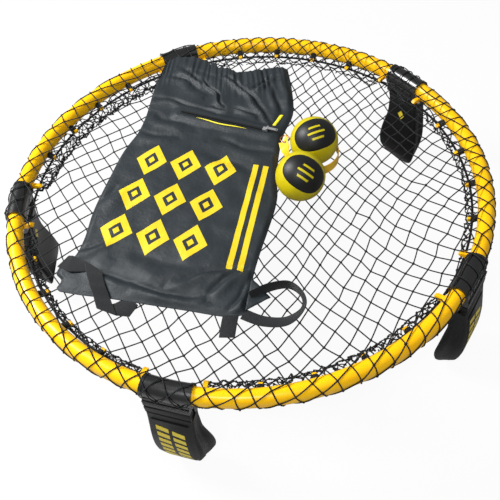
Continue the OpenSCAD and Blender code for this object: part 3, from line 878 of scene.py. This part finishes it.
bag_cols, bag_rows = 150, 260
bag_left, bag_right = even_along(BAG_LEFT, bag_rows), even_along(BAG_RIGHT, bag_rows)
bag_low, bag_high = even_along(BAG_BOTTOM, bag_cols), even_along(BAG_MOUTH, bag_cols)


def bag_plan(i, j):
    """Where column i and row j of the flat bag lie in plan, in mm."""
    u, v = i / bag_cols, j / bag_rows
    corners = bag_left[0].lerp(bag_right[0], u).lerp(bag_left[-1].lerp(bag_right[-1], u), v)
    return bag_left[j].lerp(bag_right[j], u) + bag_low[i].lerp(bag_high[i], v) - corners


# Each crease as a line of points, with the corners of the box outside which it isn't felt
CREASE_LINES, crease_steps, felt_over = [], 28, Vector((6, 6))
for corners, width, height in BAG_CREASES:
    line = [curve_at(corners, i / crease_steps) for i in range(crease_steps + 1)]
    low = Vector((min(p.x for p in line), min(p.y for p in line))) - felt_over * width
    high = Vector((max(p.x for p in line), max(p.y for p in line))) + felt_over * width
    CREASE_LINES.append((line, low, high, width, height))


# A crease strays from its line, and has a peaked ridge with a narrower valley to one side of it,
# measured in widths of the ridge
stray_mm, stray_over_mm, end_share, fade_power = 9, 46, 0.06, 0.7
peak_share, valley_share, valley_at, valley_w = 0.65, 0.85, 1.6, 0.65


def crease_height(at):
    """How far the creases lift the cloth at a place in plan, in mm."""
    at = at + noise.noise_vector(Vector((*at, 0)) / stray_over_mm).to_2d() * stray_mm
    rise, sink = 0, 0
    for line, low, high, width, height in CREASE_LINES:
        if not (low.x < at.x < high.x and low.y < at.y < high.y):
            continue
        i = min(range(len(line)), key=lambda n: (at - line[n]).length_squared)
        away = at - line[i]
        run = line[min(i + 1, len(line) - 1)] - line[max(i - 1, 0)]
        side = math.copysign(away.length, run.x * away.y - run.y * away.x) / width
        fade = math.sin(math.pi * (end_share + (1 - 2 * end_share) * i / (len(line) - 1))) ** fade_power
        ridge = peak_share * math.exp(-side * side) + (1 - peak_share) / (1 + side * side)
        valley = valley_share * math.exp(-(((side - valley_at) / valley_w) ** 2))
        rise = max(rise, height * fade * ridge)
        sink = max(sink, height * fade * valley)
    return rise - sink


# Where up the bag its casing starts, and how wide its mouth and each of its ruffles are
casing_from, mouth_mm, ruffle_mm, ruffle_step = 0.925, 282, 6.5, 0.62
# Its edges lie flat over these shares of it. Between them it stands a share of the room it has,
# give or take broad and small swells; the gathers and their stitched line have depths in mm
flat_u, flat_v, cloth_up = 0.045, 0.03, 1.6
stands, broad_by, broad_mm, small_by, small_mm = 0.36, 0.2, 90, 0.16, 30
gather_deep, gather_sharp, gather_fine, seam_deep, seam_w = 4.2, 2.6, 1.0, 1.5, 0.008


def bag_lift_at(u, v, at):
    """Height of the upper cloth above the net, in mm, at shares u across the bag and v up it."""
    edge = min(smoothstep(0, flat_u, u), smoothstep(0, flat_u, 1 - u), smoothstep(0, flat_v, v))
    room = (bag_roof - bag_floor) / mm
    broad, small = noise.noise(Vector((*at, 3)) / broad_mm), noise.noise(Vector((*at, 7)) / small_mm)
    body = room * (stands + broad_by * broad + small_by * small) * edge + cloth_up
    creases = crease_height(at) * edge * smoothstep(1.0, 0.93, v)
    # The gathers are sharp folds of uneven width and depth, deeper on the right
    along = u * mouth_mm / ruffle_mm + 1.2 * noise.noise(Vector((u * 9, v * 5, 8)))
    fold = 1 - gather_sharp * abs(noise.noise(Vector((along * ruffle_step, v * 2.2, 5))))
    gathered = smoothstep(casing_from - 0.1, casing_from + 0.01, v)
    uneven = (0.35 + 0.65 * smoothstep(0.3, 0.6, u)) * (1 + 0.9 * noise.noise(Vector((u * 5, 3, 3))))
    rough = gather_fine * noise.noise(Vector((along * 1.3, v * 12, 1)))
    gathers = gathered * (gather_deep * fold * uneven + rough)
    seam = -seam_deep * math.exp(-(((v - casing_from) / seam_w) ** 2))
    return max(body + creases + edge * (gathers + seam), 0.8)


# The zip lies flat on the upper cloth, which is held up to it within a few millimetres of its tape
zip_left, zip_right, held_mm, free_mm = Vector((-178, 143)), Vector((18, 118)), 8, 26
zip_way = (zip_right - zip_left).normalized()
zip_side = Vector((-zip_way.y, zip_way.x))


def under_zip(at):
    """1 under the zip's tape, 0 well away from it."""
    along = (at - zip_left).dot(zip_way)
    off = abs((at - zip_left).dot(zip_side))
    past = max(-along, along - (zip_right - zip_left).length, 0)
    return smoothstep(free_mm, held_mm, math.hypot(off, past))


# How high the lower cloth lies, how near the zip's cloth comes to the bag's top and how far the
# hem's ruffles reach beyond it, in mm
lower_at, zip_gap, scallop_mm = 0.4, 0.05, 9


def bag_cloth():
    """Both cloths of the bag as one closed mesh, with its plan in metres kept as a map."""
    mesh = bmesh.new()
    plan = mesh.loops.layers.uv.new("plan")
    edge_verts = {}
    for upper in (True, False):
        rows = []
        for j in range(bag_rows + 1):
            row = []
            for i in range(bag_cols + 1):
                on_edge = i in (0, bag_cols) or j in (0, bag_rows)
                if on_edge and not upper:
                    row.append(edge_verts[i, j])
                    continue
                u, v = i / bag_cols, j / bag_rows
                at = bag_plan(i, j)
                if v > casing_from:
                    along = u * mouth_mm / ruffle_mm
                    scallop = scallop_mm * noise.noise(Vector((along * ruffle_step, 4, 2)))
                    at = at + Vector((0, scallop * smoothstep(0.96, 1, v)))
                height = bag_fold / mm if on_edge else lower_at
                if upper and not on_edge:
                    height = bag_lift_at(u, v, at)
                    height += ((bag_roof - bag_floor) / mm - zip_gap - height) * under_zip(at)
                row.append(mesh.verts.new((at.x * mm, at.y * mm, bag_floor + height * mm)))
                if on_edge:
                    edge_verts[i, j] = row[-1]
            rows.append(row)
        for low, high in zip(rows, rows[1:]):
            for i in range(bag_cols):
                ring = [low[i], low[i + 1], high[i + 1], high[i]]
                cell = mesh.faces.new(ring if upper else ring[::-1])
                cell.smooth = True
                for loop in cell.loops:
                    loop[plan].uv = loop.vert.co.to_2d()
    return mesh


def printed_nylon(tree, where):
    """Charcoal with the weave just showing and a soft sheen, and print worn away in small patches."""
    crumple_mm, wear_mm = 12, 7
    # The weave is drawn coarser than it is, so that it shows
    per_thread = math.tau / (1.1 * mm)
    axes = add(tree, "ShaderNodeSeparateXYZ", {"Vector": add(tree, "ShaderNodeUVMap", uv_map="plan")})
    worn = {"Vector": where, "Scale": 1000 / wear_mm, "Detail": 6, "Roughness": 0.7}
    wear = add(tree, "ShaderNodeTexNoise", worn)
    rubbed = {"Value": wear, "From Min": 0.30, "From Max": 0.37, "To Min": 0.35}
    pitch_x, pitch_y, motif_x, motif_y = 71 * mm, 91 * mm, -120 * mm, -88 * mm
    core_to, ring_from, ring_to, lean = 0.2, 0.44, 0.9, -0.07
    stripes_x, slit_half, pair_half, stripes_y, half_len = 27 * mm, 4.5 * mm, 15 * mm, -95 * mm, 122 * mm
    found = {"x": axes.outputs["X"], "y": axes.outputs["Y"], "kept": add(tree, "ShaderNodeMapRange", rubbed)}
    for name, operation, *terms in (
        # A lattice of three by three diamonds, each a ring round a core
        ("across", "SUBTRACT", "x", motif_x),
        ("up", "SUBTRACT", "y", motif_y),
        ("wrapped x", "WRAP", "across", pitch_x / 2, -pitch_x / 2),
        ("wrapped y", "WRAP", "up", pitch_y / 2, -pitch_y / 2),
        ("near x", "ABSOLUTE", "wrapped x"),
        ("near y", "ABSOLUTE", "wrapped y"),
        ("share x", "DIVIDE", "near x", pitch_x / 2),
        ("share y", "DIVIDE", "near y", pitch_y / 2),
        ("diamond", "ADD", "share x", "share y"),
        ("within ring", "LESS_THAN", "diamond", ring_to),
        ("beyond gap", "GREATER_THAN", "diamond", ring_from),
        ("ring", "MULTIPLY", "within ring", "beyond gap"),
        ("core", "LESS_THAN", "diamond", core_to),
        ("diamonds", "MAXIMUM", "ring", "core"),
        ("off x", "ABSOLUTE", "across"),
        ("off y", "ABSOLUTE", "up"),
        ("in x", "LESS_THAN", "off x", 1.5 * pitch_x),
        ("in y", "LESS_THAN", "off y", 1.5 * pitch_y),
        ("in lattice", "MULTIPLY", "in x", "in y"),
        ("motif", "MULTIPLY", "diamonds", "in lattice"),
        # Two stripes, up the right side and leaning a little
        ("leant by", "MULTIPLY", "y", lean),
        ("upright", "SUBTRACT", "x", "leant by"),
        ("from stripes", "SUBTRACT", "upright", stripes_x),
        ("off stripes", "ABSOLUTE", "from stripes"),
        ("beyond slit", "GREATER_THAN", "off stripes", slit_half),
        ("within pair", "LESS_THAN", "off stripes", pair_half),
        ("twin", "MULTIPLY", "beyond slit", "within pair"),
        ("from middle", "SUBTRACT", "y", stripes_y),
        ("off middle", "ABSOLUTE", "from middle"),
        ("long", "LESS_THAN", "off middle", half_len),
        ("stripes", "MULTIPLY", "twin", "long"),
        ("ink", "MAXIMUM", "motif", "stripes"),
        ("print", "MULTIPLY", "ink", "kept"),
        # The weave
        ("turns x", "MULTIPLY", "x", per_thread),
        ("turns y", "MULTIPLY", "y", per_thread),
        ("warp", "SINE", "turns x"),
        ("weft", "SINE", "turns y"),
        ("weave", "MULTIPLY", "warp", "weft"),
    ):
        inputs = {i: found.get(term, term) for i, term in enumerate(terms)}
        found[name] = add(tree, "ShaderNodeMath", inputs, operation=operation)
    patch, cloth = blotched(tree, where, 60, "#1e2327", "#292f33", 4)
    tones = {"Factor": patch, "A": colour("#cfb31a"), "B": colour("#e2c722")}
    inked = {"Factor": found["print"], "A": cloth, "B": add(tree, "ShaderNodeMix", tones, data_type="RGBA")}
    creased = {"Vector": where, "Scale": 1000 / crumple_mm, "Detail": 5, "Roughness": 0.6}
    crumple = add(tree, "ShaderNodeTexNoise", creased)
    fine = add(tree, "ShaderNodeBump", {"Height": found["weave"], "Distance": 0.07 * mm, "Strength": 0.5})
    return {
        "Base Color": add(tree, "ShaderNodeMix", inked, data_type="RGBA"),
        "Normal": add(tree, "ShaderNodeBump", {"Height": crumple, "Distance": 1.1 * mm, "Normal": fine}),
    }


bag_nylon = material("coated_nylon_charcoal", {"Roughness": 0.5, "Specular IOR Level": 0.26}, printed_nylon)
bag_shell = piece_of(bag_cloth(), "bag_shell", bag_nylon)
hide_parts("bag_body", "bag_casing")
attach(bag_shell, "bag")


# ---------------------------------------------------------------- straps
# Polyester webbing, sewn into the bag's corners: a loop at each bottom corner and a short tail.
# It is woven flat and stiff, so it stands on its edge where it turns and lies flat where it rests.


def ribbed_webbing(tree, where):
    """Black, dulled by loose fibres, with ribs slanting over the band on its own map in metres."""
    per_rib, per_slant = math.tau / (2.2 * mm), math.tau / (2.4 * mm)
    axes = add(tree, "ShaderNodeSeparateXYZ", {"Vector": add(tree, "ShaderNodeUVMap", uv_map="band")})
    turns = add(tree, "ShaderNodeMath", {0: axes.outputs["Y"], 1: per_rib}, operation="MULTIPLY")
    leaning = {0: axes.outputs["X"], 1: per_slant, 2: turns}
    slanted = add(tree, "ShaderNodeMath", leaning, operation="MULTIPLY_ADD")
    rib = add(tree, "ShaderNodeMath", {0: slanted}, operation="SINE")
    return {
        "Base Color": blotched(tree, where, 3, "#121314", "#26282a", 4)[1],
        "Normal": add(tree, "ShaderNodeBump", {"Height": rib, "Distance": 0.25 * mm, "Strength": 0.8}),
    }


matt = {"Roughness": 0.75, "Specular IOR Level": 0.2, "Sheen Weight": 0.1}
webbing_black = material("woven_polyester_webbing", matt, ribbed_webbing)
band_t, band_steps, selvedge_share = 1.5 * mm, 10, 0.45


def turned(route, width):
    """The two edges of a band along a route of (x, y, height, roll in degrees, 0 lying flat), in mm."""
    count = band_steps * (len(route) - 1)
    points = [curve_at(route, i / count) for i in range(count + 1)]
    edges = []
    for i, point in enumerate(points):
        here, before, after = (Vector(points[min(max(n, 0), count)][:3]) for n in (i, i - 1, i + 1))
        run = (after - before).normalized()
        side = Matrix.Rotation(math.radians(point[3]), 3, run) @ Vector((0, 0, 1)).cross(run).normalized()
        edges.append((here - side * width / 2, here + side * width / 2))
    return edges


def folded(corners):
    """The same for a band that runs straight from fold to fold: (x, y) of each edge and a height."""
    edges = []
    for (a0, b0, z0), (a1, b1, z1) in zip(corners, corners[1:]):
        for n in range(band_steps):
            t = n / band_steps
            up = Vector((0, 0, z0 + (z1 - z0) * smoothstep(0, 1, t)))
            edges.append([Vector(p).lerp(Vector(q), t).to_3d() + up for p, q in ((a0, a1), (b0, b1))])
    a, b, z = corners[-1]
    return edges + [(Vector((*a, z)), Vector((*b, z)))]


def skin_through(mesh, rings):
    """Closes a skin through rings of points, capped at both ends, and gives the faces between them."""
    sides = []
    for a, b in zip(rings, rings[1:]):
        for k in range(len(a)):
            m = (k + 1) % len(a)
            sides.append(mesh.faces.new((a[k], b[k], b[m], a[m])))
            sides[-1].smooth = True
    mesh.faces.new(rings[0])
    mesh.faces.new(rings[-1][::-1])
    bmesh.ops.recalc_face_normals(mesh, faces=list(mesh.faces))
    return sides


def band(name, edges, node_names):
    """A woven band between two edges, given in mm with heights above the net."""
    mesh = bmesh.new()
    band_map = mesh.loops.layers.uv.new("band")
    rings, on_band, along = [], {}, 0.0
    centres = [(a + b) / 2 for a, b in edges]
    for i, (a, b) in enumerate(edges):
        before, here, after = (centres[min(max(n, 0), len(edges) - 1)] for n in (i - 1, i, i + 1))
        out = (after - before).cross(b - a).normalized()
        along += (here - before).length * mm
        half_w = (b - a).length * mm / 2
        top, low = [], []
        for share in (-1, -0.9, 0, 0.9, 1):
            at = here.lerp(b, share) if share > 0 else here.lerp(a, -share)
            at = at * mm + Vector((0, 0, bag_floor))
            half_t = band_t / 2 * (selvedge_share if abs(share) == 1 else 1)
            for row, face_out in ((top, out), (low, -out)):
                row.append(mesh.verts.new(at + face_out * half_t))
                on_band[row[-1]] = share * half_w, along
        rings.append(top + low[::-1])
    for side in skin_through(mesh, rings):
        for loop in side.loops:
            loop[band_map].uv = on_band[loop.vert]
    piece = piece_of(mesh, name, webbing_black)
    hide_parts(*node_names)
    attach(piece, "bag")


band(
    "bag_loop_left",
    folded([
        ((-262, -276), (-252, -249), 4.2), ((-234, -284), (-241, -251), 8.6),
        ((-177, -273), (-216, -258), 10.2), ((-176.4, -273.6), (-215.4, -258.6), 11.8),
        ((-171, -281), (-203, -280), 11.8), ((-159, -299), (-188, -301), 9.8),
        ((-140, -322), (-172, -322), 4.6), ((-121, -345), (-160, -339), 2.6),
        ((-120.4, -344.4), (-159.4, -338.4), 1.0), ((-100, -342), (-129, -320), 1.0),
        ((-94, -318), (-112, -308), 0.9),
    ]),
    ["bag_strap_left", "bag_tab_left"],
)
tail_w, right_loop_w = 26, 20
tail = [(61, -297, 1.6, 0), (63, -318, 1.4, 2), (67, -344, 1.8, 6)]
band("bag_tail", turned(tail, tail_w), ["bag_strap_right"])
right_loop = [
    (84, -266, 7, 60), (108, -245, 10.5, 78), (140, -232, 11, 84), (166, -246, 11, 84),
    (172, -270, 9, 55), (152, -296, 5, 16), (116, -303, 2.4, 4), (80, -297, 2, 0),
]
band("bag_loop_right", turned(right_loop, right_loop_w), ["bag_tab_right"])

# The gusset of bag cloth that the right loop is sewn to
GUSSET = [(76, -228), (116, -258), (82, -292)]
gusset_rows, gusset_lift, gusset_rumple, rumple_over, gusset_t = 12, 3.6, 2.2, 14, 1.5
mesh = bmesh.new()
plan = mesh.loops.layers.uv.new("plan")
rows = []
for i in range(gusset_rows + 1):
    ends = [Vector(GUSSET[0]).lerp(Vector(GUSSET[k]), i / gusset_rows) for k in (1, 2)]
    row = []
    for j in range(i + 1):
        at = ends[0].lerp(ends[1], j / i if i else 0)
        height = gusset_lift + gusset_rumple * noise.noise(Vector((*at, 3)) / rumple_over)
        row.append(mesh.verts.new((at.x * mm, at.y * mm, bag_floor + height * mm)))
    rows.append(row)
for i in range(gusset_rows):
    for j in range(i + 1):
        mesh.faces.new((rows[i][j], rows[i + 1][j], rows[i + 1][j + 1]))
        if j < i:
            mesh.faces.new((rows[i][j], rows[i + 1][j + 1], rows[i][j + 1]))
mesh.normal_update()
bmesh.ops.solidify(mesh, geom=list(mesh.faces), thickness=gusset_t * mm)
bmesh.ops.recalc_face_normals(mesh, faces=list(mesh.faces))
for face in mesh.faces:
    face.smooth = True
    for loop in face.loops:
        # Off to the side of the bag's own map, where nothing is printed
        loop[plan].uv = (1 + loop.vert.co.x, loop.vert.co.y)
gusset = piece_of(mesh, "bag_gusset", bag_nylon)
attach(gusset, "bag")


# ---------------------------------------------------------------- zip
# A nylon coil zip set into the bag's front: dark tape with two rolled lips, moulded teeth, a thin
# yellow piping that peeps out below it, and a die-cast slider with its pull.

zip_len = (zip_right - zip_left).length
tape_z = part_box("zip_tape")[0].z


def knit_tape(tree, where):
    """Matt and fibrous, nearly black."""
    fluff, black = blotched(tree, where, 1.4, "#0e0f10", "#232527", 3)
    bump = add(tree, "ShaderNodeBump", {"Height": fluff, "Distance": 0.3 * mm})
    return {"Base Color": black, "Normal": bump}


def cast_zinc(tree, where):
    """Bright metal with the softly uneven gloss of a casting."""
    grain_mm = 1.5
    grain = add(tree, "ShaderNodeTexNoise", {"Vector": where, "Scale": 1000 / grain_mm, "Detail": 3})
    return {"Roughness": add(tree, "ShaderNodeMapRange", {"Value": grain, "To Min": 0.3, "To Max": 0.5})}


def glossy_cord(tree, where):
    """A clean yellow that varies a little along the thread."""
    return {"Base Color": blotched(tree, where, 6, "#e2d320", "#f4ea3a", 3)[1]}


tape_fabric = material("knitted_polyester_tape", {"Roughness": 0.8, "Specular IOR Level": 0.2}, knit_tape)
# Smooth black nylon, so that each tooth has its own small highlight
coil_nylon = material("moulded_nylon_coil", {"Base Color": colour("#1b1c1e"), "Roughness": 0.4})
piping_cord = material("coated_piping_yellow", {"Roughness": 0.45}, glossy_cord)
zinc = material("die_cast_zinc", {"Base Color": colour("#e8e9ea"), "Metallic": 1.0}, cast_zinc)


def on_zip(along, side, up):
    """A point by its distances along the zip, to its left side and above the tape, in mm."""
    at = (zip_left + zip_way * along + zip_side * side) * mm
    return Vector((at.x, at.y, tape_z + up * mm))


def swept(name, ring_at, count, made, node):
    """A closed skin through rings of points; ring_at(i / count) gives each."""
    mesh = bmesh.new()
    skin_through(mesh, [[mesh.verts.new(p) for p in ring_at(i / count)] for i in range(count + 1)])
    piece = piece_of(mesh, name, made)
    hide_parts(node)
    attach(piece, "bag")


# Half the tape's section, across and up in mm: flat by the teeth, then a rolled lip
TAPE_SECTION = [(0, 0.55), (1.6, 0.6), (2.3, 1.1), (3.2, 1.5), (4.2, 1.2), (4.9, 0.4), (5.0, 0.02)]
tape_round, lip_from, wavy, wave_mm = 9, 3, 0.25, 11


def tape_ring(t):
    """The tape's section a share t along it: narrower at the rounded ends, its lips a little wavy."""
    along = t * zip_len
    end = min(along, zip_len - along)
    narrow = math.sqrt(max(1 - max(1 - end / tape_round, 0) ** 2, 0.02))
    section = [(x * narrow, z) for x, z in TAPE_SECTION]
    wave = wavy * noise.noise(Vector((along / wave_mm, 0, 4)))
    half = [on_zip(along, x, z + (wave if x > lip_from else 0)) for x, z in section]
    other = [on_zip(along, -x, z + (wave if x > lip_from else 0)) for x, z in section[:0:-1]]
    return half + [on_zip(along, 0, 0.01)] + other


swept("zip_lips", tape_ring, 150, tape_fabric, "zip_tape")


def teeth_tree():
    """A row of small teeth that lean in from both sides in turn."""
    inputs = {
        "Start": "Vector", "End": "Vector", "Pitch": "Float", "Tooth": "Vector", "Turn": "Float",
        "Lean": "Float", "Nylon": "Material",
    }
    tree, given = tree_with("zip_teeth", inputs, "Teeth")
    line = add(tree, "GeometryNodeCurvePrimitiveLine", {"Start": given["Start"], "End": given["End"]})
    points = add(tree, "GeometryNodeCurveToPoints", {"Curve": line, "Length": given["Pitch"]}, mode="LENGTH")
    odd = add(tree, "ShaderNodeMath", {0: add(tree, "GeometryNodeInputIndex"), 1: 2.0}, operation="MODULO")
    side = add(tree, "ShaderNodeMath", {0: odd, 1: 2.0, 2: -1.0}, operation="MULTIPLY_ADD")
    leaning = {0: side, 1: given["Lean"], 2: given["Turn"]}
    turn = add(tree, "ShaderNodeMath", leaning, operation="MULTIPLY_ADD")
    turned = add(tree, "ShaderNodeCombineXYZ", {"Z": turn})
    tooth = add(tree, "GeometryNodeMeshCube", {"Size": given["Tooth"]})
    placed_teeth = {"Points": points.outputs["Points"], "Instance": tooth, "Rotation": turned}
    row = add(tree, "GeometryNodeInstanceOnPoints", placed_teeth)
    real = add(tree, "GeometryNodeRealizeInstances", {"Geometry": row})
    made = add(tree, "GeometryNodeSetMaterial", {"Geometry": real, "Material": given["Nylon"]})
    add(tree, "NodeGroupOutput", {0: made})
    return tree


teeth_up, teeth_end = 1.35, 4
teeth_values = {
    "Start": on_zip(teeth_end, 0, teeth_up),
    "End": on_zip(zip_len - teeth_end, 0, teeth_up),
    "Pitch": 1.5 * mm,
    "Tooth": Vector((0.9, 3.6, 1.5)) * mm,
    "Turn": math.atan2(zip_way.y, zip_way.x),
    "Lean": 0.35,
    "Nylon": coil_nylon,
}
holder = placed("zip_teeth_holder", bpy.data.meshes.new("zip_teeth_holder"))
teeth = grown(holder, teeth_tree(), teeth_values, "zip_teeth")
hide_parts("zip_coil")
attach(teeth, "bag")

# The piping bows out from under the lower lip, and thins to nothing at both ends
piping_from, piping_len, piping_r, piping_side, piping_bow, piping_wave = 40, 112, 1.5, -7.2, 3.4, 0.8
piping_up, flattened = 0.35, 0.9


def piping_ring(t):
    """The round section of the piping a share t along it."""
    along = piping_from + piping_len * t
    thick = piping_r * max(math.sin(math.pi * t) ** 0.6, 0.08)
    side = piping_side - piping_bow * math.sin(math.pi * t) + piping_wave * math.sin(3 * math.pi * t)
    ring = []
    for k in range(10):
        a = math.tau * k / 10
        up = piping_up + thick * (1 + math.sin(a)) * flattened
        ring.append(on_zip(along, side + thick * math.cos(a), up))
    return ring


swept("zip_piping_cord", piping_ring, 60, piping_cord, "zip_piping")
dress("zip_slider", zinc)
dress("zip_pull", zinc)


# ---------------------------------------------------------------- label
# A folded tab of yellow woven ribbon, sewn flat beside the end of the zip. It lies on the cloth
# and follows its creases.

# The thread's clean yellow again, duller in a flat weave
ribbon_yellow = material("woven_ribbon_yellow", {"Roughness": 0.7, "Specular IOR Level": 0.3}, glossy_cord)
cloth_tree = BVHTree.FromObject(bag_shell, bpy.context.evaluated_depsgraph_get())
label_from, label_to = Vector((22, 141)), Vector((30, 178))
label_w, label_t = 6.5, 0.7
# Its section: (share of the half width, share of the thickness)
LABEL_SECTION = [(-1, 0.05), (-1, 1), (0, 1.2), (1, 1), (1, 0.05)]


def label_ring(t):
    """The label's section a share t along it, laid on the cloth."""
    at = label_from.lerp(label_to, t)
    side = Vector((label_to - label_from).normalized().orthogonal())
    ring = []
    for across, lift in LABEL_SECTION:
        x, y = (at + side * across * label_w / 2) * mm
        hit = cloth_tree.ray_cast(Vector((x, y, bag_roof + 50 * mm)), Vector((0, 0, -1)))[0]
        ring.append(hit + Vector((0, 0, lift * label_t * mm)))
    return ring


swept("bag_label_tab", label_ring, 24, ribbon_yellow, "bag_label")


# ---------------------------------------------------------------- studio
# A pale paper floor and a pale room, both white to the camera and dimmer in reflections; the floor
# keeps a little of the object's shadow. A broad soft light hangs to the left, a weak one in front.


def seen_by_camera(tree):
    """1 where the camera sees a surface, straight or through something clear; 0 in reflections."""
    rays = add(tree, "ShaderNodeLightPath").outputs
    seen = {0: rays["Is Camera Ray"], 1: rays["Is Transmission Ray"]}
    return add(tree, "ShaderNodeMath", seen, operation="MAXIMUM")


floor_half, floor_z = 6.0, -0.5 * mm
floor_mesh = bpy.data.meshes.new("floor")
corners = [(x * floor_half, y * floor_half, floor_z) for x, y in ((-1, -1), (1, -1), (1, 1), (-1, 1))]
floor_mesh.from_pydata(corners, [], [(0, 1, 2, 3)])
floor = placed("floor", floor_mesh)
paper = bpy.data.materials.new("white_paper")
paper.use_nodes = True
tree = paper.node_tree
sheet = tree.nodes["Principled BSDF"]
sheet.inputs["Base Color"].default_value = colour("#b2b2b2")
sheet.inputs["Roughness"].default_value = 0.9
glow = add(tree, "ShaderNodeEmission", {"Strength": 1.04})
mostly = add(tree, "ShaderNodeMath", {0: seen_by_camera(tree), 1: 0.9}, operation="MULTIPLY")
mixed = add(tree, "ShaderNodeMixShader", {"Fac": mostly, 1: sheet, 2: glow})
tree.links.new(live(mixed), tree.nodes["Material Output"].inputs["Surface"])
floor_mesh.materials.append(paper)

room_level = 0.32
world = bpy.data.worlds.new("room")
bpy.context.scene.world = world
world.use_nodes = True
tree = world.node_tree
levels = {"Factor": seen_by_camera(tree), "A": room_level, "B": 1.0}
level = add(tree, "ShaderNodeMix", levels, data_type="FLOAT")
tree.links.new(live(level), tree.nodes["Background"].inputs["Strength"])
tree.nodes["Background"].inputs["Color"].default_value = (1, 1, 1, 1)

for name, place, size, watts in (
    ("overhead_light", (-1.6, 0.0, 1.75), 0.7, 70),
    ("front_light", (0.1, -1.3, 2.1), 0.4, 22),
):
    lamp = bpy.data.lights.new(name, "AREA")
    lamp.size, lamp.energy = size, watts
    holder = placed(name, lamp)
    aim = Vector((0, 0, tube_z)) - Vector(place)
    holder.matrix_world = Matrix.Translation(place) @ aim.to_track_quat("-Z", "Y").to_matrix().to_4x4()

bpy.context.scene.view_settings.view_transform = "Standard"
